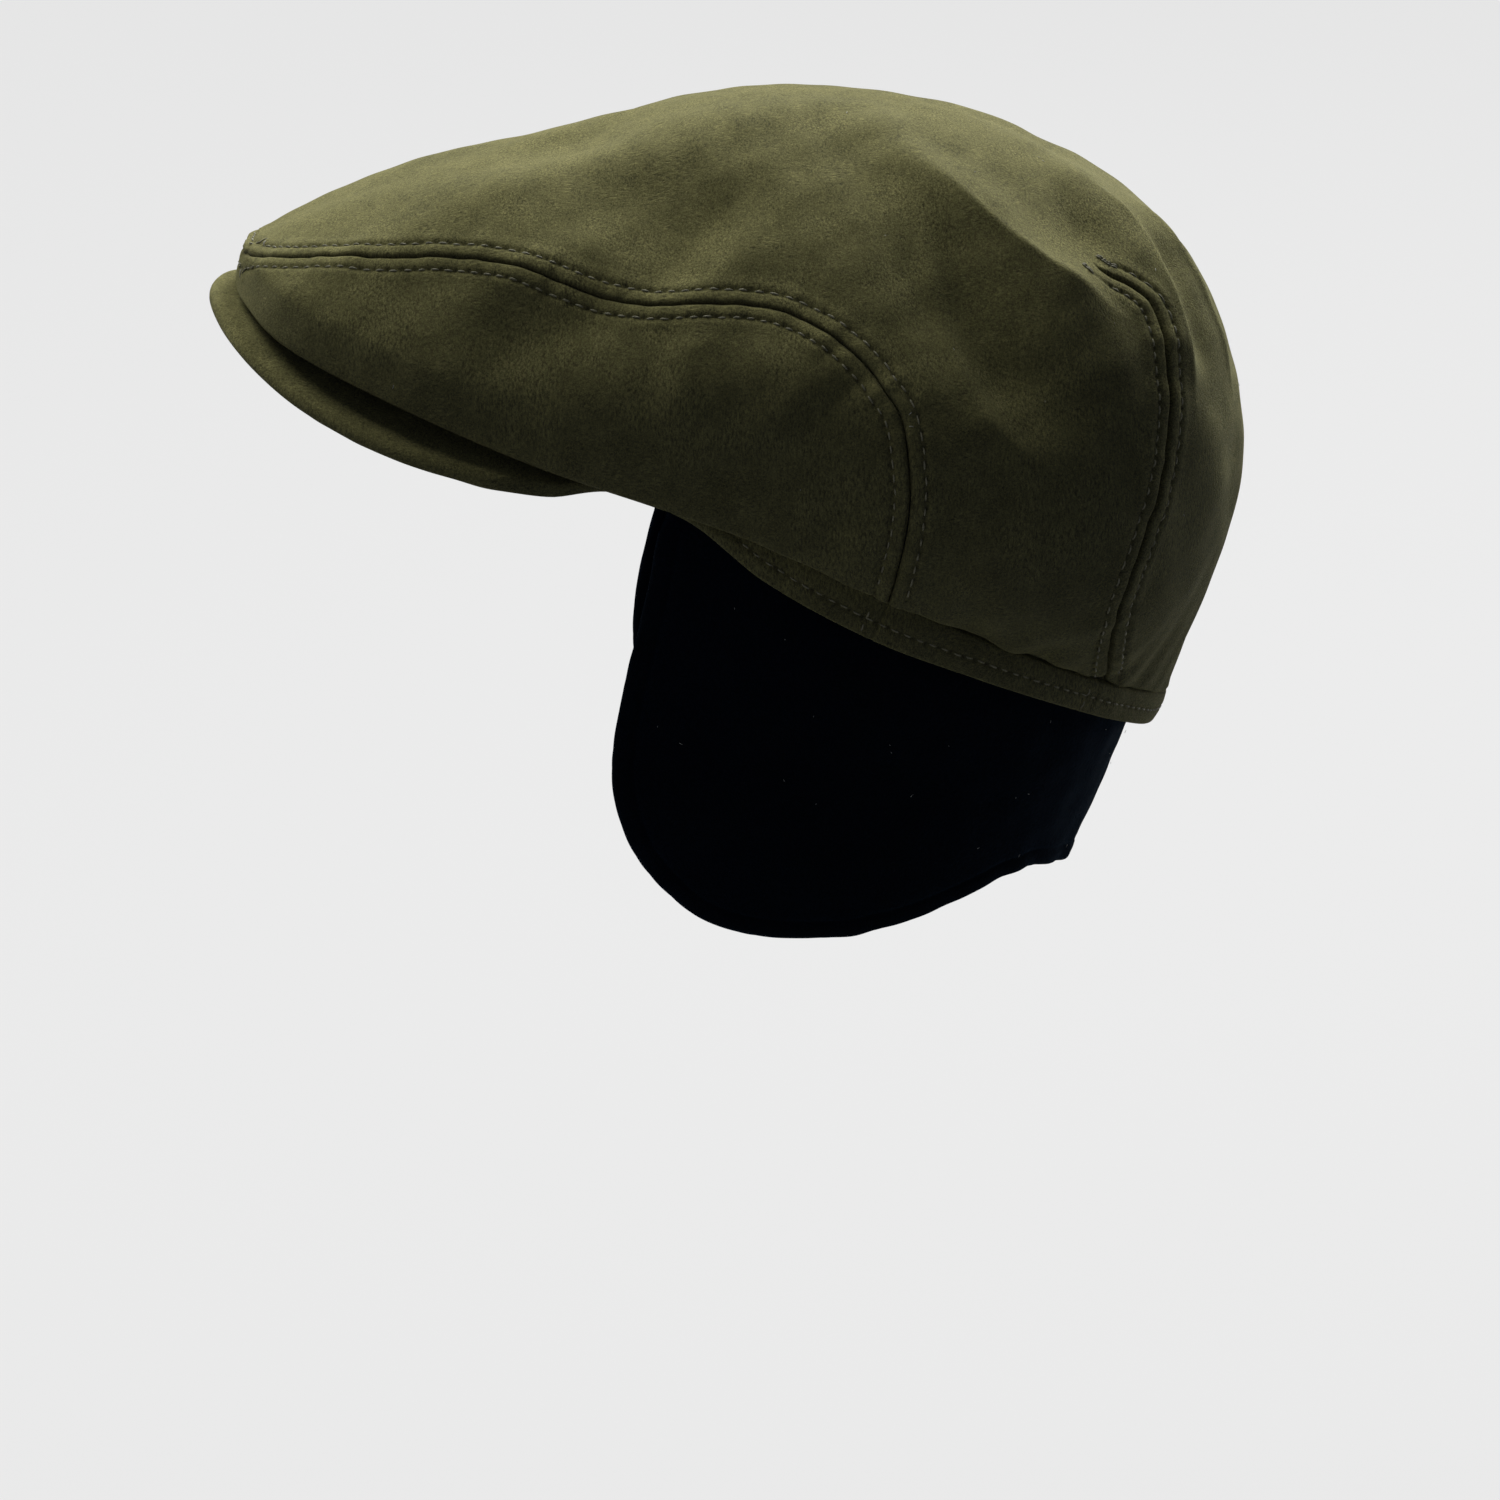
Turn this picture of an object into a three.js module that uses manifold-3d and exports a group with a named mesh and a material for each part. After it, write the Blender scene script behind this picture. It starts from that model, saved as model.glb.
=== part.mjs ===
// Earflap cap: a suede flat cap with a stiff peak and a one-piece ear and neck flap folded down.
// Millimetres. The cap is first shaped level: X points to the wearer's left, Y to the back and Z up
// from the plane of the head opening. It is then tilted back as it is worn.

import * as THREE from 'three';
import { mergeVertices } from 'three/addons/utils/BufferGeometryUtils.js';
import Module from 'manifold-3d';

const wasm = await Module();
wasm.setup();

// How the cap is worn: the front is tilted up by this many degrees.
const wornTilt = 23;

// Crown: reaches are measured from the upright axis through its highest point.
const crownFrontReach = 178;
const crownBackReach = 82.5;
const crownHalfWidth = 97;
const crownHeight = 122;
const crownAxisBack = 15;
const crownWall = 2;
const hemLift = 14;

// Head opening: the outer faces of the band that runs round it.
const rimHalfWidth = 83;
const rimHalfLength = 100.5;
const rimCentreBack = 1.5;
const bandTuckWall = 1.5;
const bandTuckHeight = 4;
const bandTuckLean = 1.5;

// Peak: it reaches forward from a line across the temples.
const peakReach = 112;
const peakHalfWidth = 85;
const templeLine = -55;
const peakThickness = 3.8;
const peakDip = 12;
const peakRootHeight = 13.8;
const peakRootTurn = 46;
const peakArch = 2.2;

// Flap: one piece from temple to temple round the back of the neck.
const flapDepth = 84.3;
const flapWall = 2.8;
const flapTuck = 9;

// Clearance between pieces that lie against each other.
const gap = 0.3;

// Fineness of the faceted solids.
const columns = 84;
const crownRowsDown = 16;
const bandCorners = 6;
const peakColumns = 44;
const peakRowsOut = 6;
const flapRowsDown = 7;
const seamSteps = 40;
const foldSteps = 12;
const weldDistance = 0.0001;

// The crown by direction, from the centre front round one side to the centre back.
// across: the fullest place, as a share of crownHalfWidth.
// along: the same place ahead of the axis, a share of crownFrontReach, or behind it, of crownBackReach.
// belly: the height of the fullest place, a share of crownHeight.
// slope: the power of the dome's profile, 0.5 for an ellipse and nearly 1 for a straight slope.
// hem and edge: the heights of the crown's hem and of the band's lower edge, shares of hemLift.
// drawn: how far the hem is drawn in from the fullest place towards the band.
// lip: how far the turned-under hem closes the way to the band.
const crownRows = [
  { across: 0.000, along: 1.000, belly: 0.168, slope: 0.96, hem: 0.69, edge: 0.69, drawn: 0.016, lip: 0 },
  { across: 0.344, along: 0.965, belly: 0.166, slope: 0.95, hem: 0.69, edge: 0.69, drawn: 0.020, lip: 0 },
  { across: 0.589, along: 0.882, belly: 0.162, slope: 0.89, hem: 0.58, edge: 0.69, drawn: 0.035, lip: 0 },
  { across: 0.763, along: 0.720, belly: 0.165, slope: 0.82, hem: 0.63, edge: 0.69, drawn: 0.050, lip: 0 },
  { across: 0.862, along: 0.522, belly: 0.197, slope: 0.71, hem: 0.71, edge: 0.71, drawn: 0.120, lip: 0 },
  { across: 0.912, along: 0.348, belly: 0.262, slope: 0.61, hem: 0.91, edge: 0.79, drawn: 0.260, lip: 0 },
  { across: 0.959, along: 0.190, belly: 0.311, slope: 0.56, hem: 1.05, edge: 0.41, drawn: 0.310, lip: 1 },
  { across: 1.000, along: 0.000, belly: 0.344, slope: 0.54, hem: 0.99, edge: 0.19, drawn: 0.550, lip: 1 },
  { across: 0.949, along: -0.394, belly: 0.352, slope: 0.53, hem: 0.89, edge: 0.16, drawn: 0.870, lip: 1 },
  { across: 0.728, along: -0.748, belly: 0.344, slope: 0.52, hem: 0.75, edge: 0.08, drawn: 1.000, lip: 1 },
  { across: 0.459, along: -0.910, belly: 0.336, slope: 0.51, hem: 0.60, edge: -0.06, drawn: 1.000, lip: 1 },
  { across: 0.000, along: -1.000, belly: 0.328, slope: 0.51, hem: 0.38, edge: -0.32, drawn: 1.000, lip: 1 },
];

// The dome ends at this share of the way from the top to the hem, and the skirt goes on below it,
// curling in by skirtTurn degrees.
const domeShare = 0.8;
const skirtTurn = 62;

// Folds of the crown. Each runs through places given by turn, in degrees from the front, and drop,
// 0 at the top and 1 at the hem. width and height are shares of crownHeight, and a dent is below 0.
// fade: the length over which the fold dies out at each end, in mm.
const folds = [
  { // shoulder ridge from the top to the dart
    places: [
      { turn: 25, drop: 0.18 }, { turn: 50, drop: 0.26 }, { turn: 70, drop: 0.33 },
      { turn: 90, drop: 0.39 }, { turn: 108, drop: 0.43 },
    ],
    width: 0.07, height: 0.022, fade: 15,
  },
  { // deep dent under the shoulder ridge
    places: [
      { turn: 60, drop: 0.36 }, { turn: 72, drop: 0.43 }, { turn: 82, drop: 0.51 },
      { turn: 94, drop: 0.58 }, { turn: 110, drop: 0.62 },
    ],
    width: 0.10, height: -0.045, fade: 35,
  },
  { // valley above the shoulder ridge
    places: [{ turn: 84, drop: 0.27 }, { turn: 100, drop: 0.30 }, { turn: 112, drop: 0.33 }],
    width: 0.08, height: -0.022, fade: 20,
  },
  { // ridge behind the dart
    places: [
      { turn: 80, drop: 0.12 }, { turn: 102, drop: 0.18 }, { turn: 116, drop: 0.26 },
      { turn: 122, drop: 0.38 }, { turn: 125, drop: 0.52 },
    ],
    width: 0.07, height: 0.02, fade: 15,
  },
  { // valley behind that ridge
    places: [{ turn: 124, drop: 0.22 }, { turn: 128, drop: 0.34 }, { turn: 132, drop: 0.50 }],
    width: 0.05, height: -0.015, fade: 15,
  },
  { // rear ridge
    places: [{ turn: 136, drop: 0.17 }, { turn: 140, drop: 0.32 }, { turn: 145, drop: 0.50 }],
    width: 0.06, height: 0.01, fade: 15,
  },
  { // broad valley across the front of the top
    places: [{ turn: 2, drop: 0.37 }, { turn: 28, drop: 0.41 }, { turn: 48, drop: 0.50 }],
    width: 0.16, height: -0.032, fade: 15,
  },
  { // hollow across the seam and the side panel
    places: [{ turn: 42, drop: 0.54 }, { turn: 37, drop: 0.64 }, { turn: 34, drop: 0.76 }],
    width: 0.09, height: -0.018, fade: 15,
  },
  { // swell of the side panel
    places: [{ turn: 48, drop: 0.66 }, { turn: 60, drop: 0.68 }, { turn: 70, drop: 0.74 }],
    width: 0.12, height: 0.025, fade: 10,
  },
  { // shallow dip along the middle of the front
    places: [{ turn: 0, drop: 0.22 }, { turn: 2, drop: 0.36 }, { turn: 4, drop: 0.50 }],
    width: 0.20, height: -0.02, fade: 30,
  },
  { // flat rear of the top
    places: [{ turn: 20, drop: 0.03 }, { turn: 120, drop: 0.03 }, { turn: 150, drop: 0.07 }],
    width: 0.15, height: -0.035, fade: 20,
  },
  { // fullness of the back
    places: [{ turn: 155, drop: 0.25 }, { turn: 168, drop: 0.27 }, { turn: 180, drop: 0.29 }],
    width: 0.13, height: 0.015, fade: 20,
  },
];
const foldEndShare = 0.2; // how much of a fold's height is left at its very end
const otherSideFolds = 0.8;

// The seam between the top panel and a side panel, seen from the side.
// ahead: distance ahead of the crown's axis, a share of crownFrontReach; up: a share of crownHeight.
const seamRows = [
  { ahead: 1.060, up: 0.135 },
  { ahead: 0.993, up: 0.144 },
  { ahead: 0.930, up: 0.194 },
  { ahead: 0.863, up: 0.250 },
  { ahead: 0.721, up: 0.357 },
  { ahead: 0.601, up: 0.412 },
  { ahead: 0.489, up: 0.429 },
  { ahead: 0.376, up: 0.495 },
  { ahead: 0.272, up: 0.546 },
  { ahead: 0.174, up: 0.529 },
  { ahead: 0.090, up: 0.451 },
  { ahead: 0.045, up: 0.336 },
  { ahead: 0.022, up: 0.213 },
  { ahead: 0.006, up: 0.107 },
  { ahead: 0.000, up: -0.100 },
];

// The peak's outer edge by direction: turn is 0 at the tip and 90 at the temple.
// low: the height of its lower edge, a share of peakDip.
const peakRows = [
  { turn: 0, low: 0.35 },
  { turn: 17, low: 0.27 },
  { turn: 27, low: 0.12 },
  { turn: 39, low: -0.09 },
  { turn: 48, low: -0.22 },
  { turn: 58, low: -0.26 },
  { turn: 66, low: -0.20 },
  { turn: 72, low: -0.07 },
  { turn: 78, low: 0.10 },
  { turn: 84, low: 0.33 },
  { turn: 90, low: 0.80 },
];
const peakOutlinePower = 0.9;
const peakTempleTuck = 0.08;
const peakTuckFrom = 76;
const templeTurn = 90;

// The flap's free edge, seen from the side.
// along: from the middle of the head opening to the back, a share of rimHalfLength.
// down: below the plane of the head opening, a share of flapDepth.
const flapRows = [
  { along: -0.430, down: -0.050 },
  { along: -0.400, down: 0.125 },
  { along: -0.356, down: 0.458 },
  { along: -0.288, down: 0.703 },
  { along: -0.175, down: 0.876 },
  { along: -0.028, down: 0.973 },
  { along: 0.090, down: 1.000 },
  { along: 0.238, down: 0.974 },
  { along: 0.426, down: 0.885 },
  { along: 0.594, down: 0.745 },
  { along: 0.733, down: 0.604 },
  { along: 0.812, down: 0.555 },
  { along: 0.891, down: 0.552 },
  { along: 1.050, down: 0.565 },
];
// How much narrower and shorter round the flap is at its lowest point, as shares of the head opening,
// and the power of the curve that it comes in on.
const flapTaperAcross = 0.145;
const flapTaperAlong = -0.02;
const flapTaperPower = 1.5;

const degrees = Math.PI / 180;

// The direction of each crown row in degrees from the front, and its reach from the axis.
const crownOutline = crownRows.map((row) => {
  const across = row.across * crownHalfWidth;
  const ahead = row.along * (row.along > 0 ? crownFrontReach : crownBackReach);
  return { ...row, turn: Math.atan2(across, ahead) / degrees, reach: Math.hypot(across, ahead) };
});

// A value from a table of rows at any turn, on a smooth curve that is level at its ends and peaks.
function valueAt(rows, key, turn) {
  const away = Math.min(Math.abs(turn), rows.at(-1).turn);
  const i = Math.max(1, rows.findIndex((row) => row.turn >= away));
  const slopeAt = (j) => {
    if (j === 0 || j === rows.length - 1) return 0;
    const before = rows[j][key] - rows[j - 1][key];
    const after = rows[j + 1][key] - rows[j][key];
    return before * after > 0 ? (before + after) / (rows[j + 1].turn - rows[j - 1].turn) : 0;
  };
  const span = rows[i].turn - rows[i - 1].turn;
  const t = (away - rows[i - 1].turn) / span;
  const s = 1 - t;
  const level = rows[i - 1][key] * s * s * (1 + 2 * t) + rows[i][key] * t * t * (3 - 2 * t);
  return level + slopeAt(i - 1) * span * t * s * s - slopeAt(i) * span * t * t * s;
}

// The place at a reach from the crown's axis.
function fromAxis(turn, reach, height) {
  return new THREE.Vector3(
    reach * Math.sin(turn * degrees),
    crownAxisBack - reach * Math.cos(turn * degrees),
    height,
  );
}

// The direction of a place from the crown's axis, in degrees from the front.
function turnOf(place) {
  return Math.atan2(place.x, crownAxisBack - place.y) / degrees;
}

// The reach from the crown's axis to the band's outer face, moved in by the insets.
function rimReach(turn, insetAcross, insetAlong = insetAcross) {
  const across = rimHalfWidth - insetAcross;
  const along = rimHalfLength - insetAlong;
  const x = Math.sin(turn * degrees) / across;
  const y = -Math.cos(turn * degrees) / along;
  const offset = (crownAxisBack - rimCentreBack) / along;
  const a = x * x + y * y;
  const b = offset * y;
  const c = offset * offset - 1;
  return (-b + Math.sqrt(b * b - a * c)) / a;
}

// The reach and height of the hem.
function hemAt(turn) {
  const belly = valueAt(crownOutline, 'reach', turn);
  return {
    reach: THREE.MathUtils.lerp(belly, rimReach(turn, 0), valueAt(crownOutline, 'drawn', turn)),
    height: valueAt(crownOutline, 'hem', turn) * hemLift,
  };
}

// The crown without its folds: drop is 0 at the top and 1 at the hem.
function plainCrown(turn, drop) {
  const reach = valueAt(crownOutline, 'reach', turn);
  const belly = valueAt(crownOutline, 'belly', turn) * crownHeight;
  if (drop <= domeShare) {
    const lean = (drop / domeShare) * Math.PI / 2;
    const rise = Math.max(0, Math.cos(lean)) ** (2 * valueAt(crownOutline, 'slope', turn));
    return fromAxis(turn, reach * Math.sin(lean), belly + (crownHeight - belly) * rise);
  }
  const hem = hemAt(turn);
  const curl = ((drop - domeShare) / (1 - domeShare)) * skirtTurn * degrees;
  const inward = (1 - Math.cos(curl)) / (1 - Math.cos(skirtTurn * degrees));
  const downward = Math.sin(curl) / Math.sin(skirtTurn * degrees);
  return fromAxis(
    turn,
    THREE.MathUtils.lerp(reach, hem.reach, inward),
    THREE.MathUtils.lerp(belly, hem.height, downward),
  );
}

// The outward direction of the crown's surface.
function crownOutward(turn, drop) {
  const step = 0.01; // the share of the drop between the places compared
  const low = THREE.MathUtils.clamp(drop, 2 * step, 1 - step);
  const down = plainCrown(turn, low + step).sub(plainCrown(turn, low - step));
  const round = plainCrown(turn + 1, low).sub(plainCrown(turn - 1, low));
  return down.cross(round).normalize();
}

// The folds' paths laid on the left half of the crown.
const foldPaths = folds.map((fold) => {
  const places = fold.places.map((place) => plainCrown(place.turn, place.drop));
  const course = new THREE.CatmullRomCurve3(places);
  return { ...fold, points: course.getPoints(foldSteps) };
});

// How much of a fold's height is left at a distance from one of its ends.
function foldEnd(distance, fade) {
  return THREE.MathUtils.lerp(foldEndShare, 1, THREE.MathUtils.smoothstep(distance, 0, fade));
}

// How far the folds move the surface out at a place.
function foldHeight(place) {
  const near = new THREE.Vector3(Math.abs(place.x), place.y, place.z);
  const line = new THREE.Line3();
  const closest = new THREE.Vector3();
  let height = 0;
  for (const fold of foldPaths) {
    let distance = Infinity;
    let along = 0;
    let passed = 0;
    for (let i = 1; i < fold.points.length; i += 1) {
      line.set(fold.points[i - 1], fold.points[i]).closestPointToPoint(near, true, closest);
      const reach = closest.distanceTo(near);
      if (reach < distance) {
        distance = reach;
        along = passed + closest.distanceTo(line.start);
      }
      passed += line.distance();
    }
    const ends = foldEnd(along, fold.fade) * foldEnd(passed - along, fold.fade);
    const profile = Math.exp(-((distance / (fold.width * crownHeight)) ** 2));
    height += fold.height * crownHeight * ends * profile;
  }
  const side = place.x < 0 ? otherSideFolds : 1;
  return height * side;
}

// A place in the crown's wall: depth is 0 on its outer face and crownWall on its inner face.
function crownPlace(turn, drop, depth) {
  const plain = plainCrown(turn, drop);
  if (drop === 0) return plain.setZ(plain.z + foldHeight(plain) - depth);
  const outward = crownOutward(turn, drop);
  const hemFade = 1 - THREE.MathUtils.smoothstep(drop, domeShare, 1);
  return plain.addScaledVector(outward, foldHeight(plain) * hemFade - depth);
}

// Moves every vertex of a unit geometry to its place and closes the geometry's seams.
function mould(geometry, placeOf) {
  const { position, uv } = geometry.attributes;
  const start = new THREE.Vector3();
  for (let i = 0; i < position.count; i += 1) {
    start.fromBufferAttribute(position, i);
    const place = placeOf(uv.getX(i), uv.getY(i), start);
    position.setXYZ(i, place.x, place.y, place.z);
  }
  geometry.deleteAttribute('normal');
  geometry.deleteAttribute('uv');
  return mergeVertices(geometry, weldDistance);
}

// Turns a closed geometry into a solid that can be joined and cut.
function toSolid(geometry) {
  return new wasm.Manifold(new wasm.Mesh({
    numProp: 3,
    vertProperties: Float32Array.from(geometry.attributes.position.array),
    triVerts: Uint32Array.from(geometry.index.array),
  }));
}

// Turns a solid back into a geometry.
function toGeometry(solid) {
  const mesh = solid.getMesh();
  const geometry = new THREE.BufferGeometry();
  geometry.setAttribute('position', new THREE.BufferAttribute(mesh.vertProperties, 3));
  geometry.setIndex(new THREE.BufferAttribute(mesh.triVerts, 1));
  geometry.computeVertexNormals();
  return geometry;
}

// A cutting block as wide as the cap, from an outline of [y, z] points and between two widths.
function sideBlock(outline, fromX, toX) {
  const shape = new THREE.Shape(outline.map(([y, z]) => new THREE.Vector2(y, z)));
  const block = new THREE.ExtrudeGeometry(shape, { depth: toX - fromX, bevelEnabled: false });
  block.applyMatrix4(new THREE.Matrix4().makeBasis(
    new THREE.Vector3(0, 1, 0),
    new THREE.Vector3(0, 0, 1),
    new THREE.Vector3(1, 0, 0),
  ));
  block.translate(fromX, 0, 0);
  block.deleteAttribute('normal');
  block.deleteAttribute('uv');
  return toSolid(mergeVertices(block, weldDistance));
}

// The crown's directions, spaced evenly round its outline.
const outlineHalf = crownOutline.map(({ turn, reach }) => fromAxis(turn, reach, 0));
const outlineOther = outlineHalf.slice(1, -1).reverse().map(({ x, y, z }) => new THREE.Vector3(-x, y, z));
const outlineRound = new THREE.CatmullRomCurve3([...outlineHalf, ...outlineOther], true);
const turns = outlineRound.getSpacedPoints(columns).map(turnOf);

// The direction of a column of vertices: round goes from 0 at the front to 1 at the front again.
function columnTurn(round) {
  return turns[Math.round(round * columns) % columns];
}

// The whole crown as one open shell: down its outer face, under the hem and up its inner face.
function crownShell() {
  const rings = 2 * crownRowsDown + 2;
  const unit = new THREE.SphereGeometry(1, columns, rings);
  return toSolid(mould(unit, (u, v) => {
    const ring = Math.round((1 - v) * rings);
    const turn = columnTurn(u);
    if (ring <= crownRowsDown) return crownPlace(turn, ring / crownRowsDown, 0);
    if (ring > crownRowsDown + 2) return crownPlace(turn, (rings - ring) / crownRowsDown, crownWall);
    const hem = hemAt(turn);
    const open = hem.reach - crownWall;
    const closed = rimReach(turn, crownWall);
    const reach = THREE.MathUtils.lerp(open, closed, valueAt(crownOutline, 'lip', turn));
    return fromAxis(turn, reach, hem.height + (ring - crownRowsDown - 1) * crownWall);
  }));
}

// The outline of a side panel's cutting block, with the seam moved out by outset.
function seamOutline(outset) {
  const course = new THREE.SplineCurve(seamRows.map(({ ahead, up }) => new THREE.Vector2(
    crownAxisBack - ahead * crownFrontReach,
    up * crownHeight,
  )));
  const seam = [];
  for (let i = 0; i <= seamSteps; i += 1) {
    const point = course.getPointAt(i / seamSteps);
    const tangent = course.getTangentAt(i / seamSteps);
    seam.push([point.x - tangent.y * outset, point.y + tangent.x * outset]);
  }
  const below = seam.at(-1)[1];
  return [...seam, [seam[0][0], below]];
}

// The top panel and the two side panels, cut from the shell along the seams.
function crownPanels() {
  const shell = crownShell();
  const clear = crownHalfWidth + crownHeight;
  const topCut = sideBlock(seamOutline(gap), -clear, clear);
  const leftCut = sideBlock(seamOutline(0), gap / 2, clear);
  const rightCut = sideBlock(seamOutline(0), -clear, -gap / 2);
  return {
    crown_top: shell.subtract(topCut),
    side_panel_left: shell.intersect(leftCut),
    side_panel_right: shell.intersect(rightCut),
  };
}

// The band: its lower part shows below the crown's hem, and its thinner upper part is tucked behind it.
function rimBand() {
  const tuckFace = crownWall + gap;
  const innerFace = tuckFace + bandTuckWall;
  const unit = new THREE.TorusGeometry(1, 0.5, bandCorners, columns);
  return toSolid(mould(unit, (u, v) => {
    const turn = columnTurn(u);
    const edge = valueAt(crownOutline, 'edge', turn) * hemLift;
    const lip = valueAt(crownOutline, 'lip', turn);
    const step = THREE.MathUtils.lerp(peakRootHeight + gap, hemAt(turn).height - gap, lip);
    const corners = [
      { inset: 0, height: edge },
      { inset: 0, height: step },
      { inset: tuckFace, height: step },
      { inset: tuckFace + bandTuckLean, height: step + bandTuckHeight },
      { inset: innerFace + bandTuckLean, height: step + bandTuckHeight },
      { inset: innerFace, height: edge },
    ];
    const corner = corners[Math.round(v * bandCorners) % bandCorners];
    return fromAxis(turn, rimReach(turn, corner.inset), corner.height);
  }));
}

// The peak: an arched sheet from the band's front to a rounded outline.
function peak() {
  const unit = new THREE.BoxGeometry(1, 1, 1, peakColumns, peakRowsOut, 1);
  return toSolid(mould(unit, (u, v, start) => {
    const turn = start.x * 2 * templeTurn;
    const out = 0.5 - start.y;
    const rootTurn = start.x * 2 * peakRootTurn;
    const root = fromAxis(rootTurn, rimReach(rootTurn, -gap), peakRootHeight - peakThickness);
    const tuck = peakTempleTuck * THREE.MathUtils.smoothstep(Math.abs(turn), peakTuckFrom, templeTurn);
    const sine = Math.abs(Math.sin(turn * degrees)) ** peakOutlinePower;
    const cosine = Math.max(0, Math.cos(turn * degrees)) ** peakOutlinePower;
    const edge = new THREE.Vector3(
      Math.sign(turn) * peakHalfWidth * sine * (1 - tuck),
      templeLine - peakReach * cosine,
      valueAt(peakRows, 'low', turn) * peakDip,
    );
    const place = root.lerp(edge, out);
    place.z += peakArch * Math.sin(out * Math.PI) * cosine + (start.z + 0.5) * peakThickness;
    return place;
  }));
}

// The flap: a skirt inside the band, cut to the outline of its free edge.
function earFlap() {
  const top = crownWall + gap + bandTuckWall + bandTuckLean + gap;
  const rings = 2 * flapRowsDown + 2;
  const unit = new THREE.TorusGeometry(1, 0.5, rings, columns);
  const skirt = toSolid(mould(unit, (u, v) => {
    const ring = Math.round(v * rings) % rings;
    const outer = ring <= flapRowsDown;
    const down = outer ? 1 - ring / flapRowsDown : (ring - flapRowsDown - 1) / flapRowsDown;
    const turn = columnTurn(u);
    const start = valueAt(crownOutline, 'edge', turn) * hemLift + flapTuck;
    const height = THREE.MathUtils.lerp(start, -flapDepth - flapTuck, down);
    const below = Math.max(0, -height / flapDepth) ** flapTaperPower;
    const inset = top + (outer ? 0 : flapWall);
    const reach = rimReach(
      turn,
      inset + below * flapTaperAcross * rimHalfWidth,
      inset + below * flapTaperAlong * rimHalfLength,
    );
    return fromAxis(turn, reach, height);
  }));
  const course = new THREE.SplineCurve(flapRows.map(({ along, down }) => new THREE.Vector2(
    rimCentreBack + along * rimHalfLength,
    -down * flapDepth,
  )));
  const edge = course.getSpacedPoints(seamSteps).map(({ x, y }) => [x, y]);
  const outline = [...edge, [edge.at(-1)[0], crownHeight], [edge[0][0], crownHeight]];
  return skirt.intersect(sideBlock(outline, -crownHalfWidth, crownHalfWidth));
}

// Each piece has its own material: olive suede, a darker tone on the peak and band, and near-black fleece.
const suede = { color: 0x55542f, roughness: 0.95, metalness: 0 };
const suedeShade = { color: 0x4b4a2a, roughness: 0.95, metalness: 0 };
const fleece = { color: 0x05070d, roughness: 1, metalness: 0 };

const pieces = [
  ...Object.entries(crownPanels()).map(([name, solid]) => ({ name, solid, finish: suede })),
  { name: 'rim_band', solid: rimBand(), finish: suedeShade },
  { name: 'peak', solid: peak(), finish: suedeShade },
  { name: 'ear_flap', solid: earFlap(), finish: fleece },
];

const worn = new THREE.Group();
worn.rotation.x = -wornTilt * degrees;
for (const { name, solid, finish } of pieces) {
  const mesh = new THREE.Mesh(toGeometry(solid), new THREE.MeshStandardMaterial(finish));
  mesh.name = name;
  worn.add(mesh);
}

const cap = new THREE.Group();
cap.add(worn);

export default cap;
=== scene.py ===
import math

import bpy
import numpy as np
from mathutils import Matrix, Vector
from mathutils.geometry import delaunay_2d_cdt


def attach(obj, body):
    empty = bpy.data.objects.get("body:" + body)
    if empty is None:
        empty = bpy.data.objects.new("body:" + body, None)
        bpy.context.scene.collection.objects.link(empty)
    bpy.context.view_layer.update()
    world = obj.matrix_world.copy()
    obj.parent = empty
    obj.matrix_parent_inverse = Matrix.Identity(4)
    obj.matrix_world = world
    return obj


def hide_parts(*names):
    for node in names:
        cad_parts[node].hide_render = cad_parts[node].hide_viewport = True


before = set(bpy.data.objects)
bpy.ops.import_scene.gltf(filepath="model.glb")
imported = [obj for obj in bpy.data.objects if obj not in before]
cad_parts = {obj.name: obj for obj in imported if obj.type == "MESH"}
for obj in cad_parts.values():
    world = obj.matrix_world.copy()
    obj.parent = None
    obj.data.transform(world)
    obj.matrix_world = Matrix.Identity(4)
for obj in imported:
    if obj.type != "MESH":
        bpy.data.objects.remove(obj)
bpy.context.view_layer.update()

# An earflap cap: suede panels, band and peak, and one fleece flap folded down over the ears and neck.
# Lengths are millimetres in the cap's own level frame: X to the wearer's left, Y to the back, Z up
# from the plane of the head opening. to_world tilts the cap back as worn and gives the frame's metres.
METRE = 1000.0
WORN_TILT = math.radians(23)

# Crown, measured from the upright axis through its highest point.
CROWN_FRONT_REACH = 178
CROWN_BACK_REACH = 82.5
CROWN_HALF_WIDTH = 97
CROWN_HEIGHT = 122
CROWN_AXIS_BACK = 15
CROWN_WALL = 2
HEM_LIFT = 14
DOME_SHARE = 0.8
SKIRT_TURN = math.radians(62)
OTHER_SIDE_FOLDS = 0.8
SIDE_BLEND = 20
FOLD_END_SHARE = 0.2

# Head opening and the band round it.
RIM_HALF_WIDTH = 83
RIM_HALF_LENGTH = 100.5
RIM_CENTRE_BACK = 1.5
BAND_TUCK_WALL = 1.5
BAND_TUCK_HEIGHT = 4
BAND_TUCK_LEAN = 1.5
GAP = 0.3

# Peak.
PEAK_REACH = 112
PEAK_HALF_WIDTH = 85
TEMPLE_LINE = -55
PEAK_THICKNESS = 3.8
PEAK_DIP = 12
PEAK_ROOT_HEIGHT = 13.8
PEAK_ROOT_TURN = 46
PEAK_ARCH = 2.2
PEAK_OUTLINE_POWER = 0.9
PEAK_TEMPLE_TUCK = 0.08
PEAK_TUCK_FROM = 76

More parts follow.
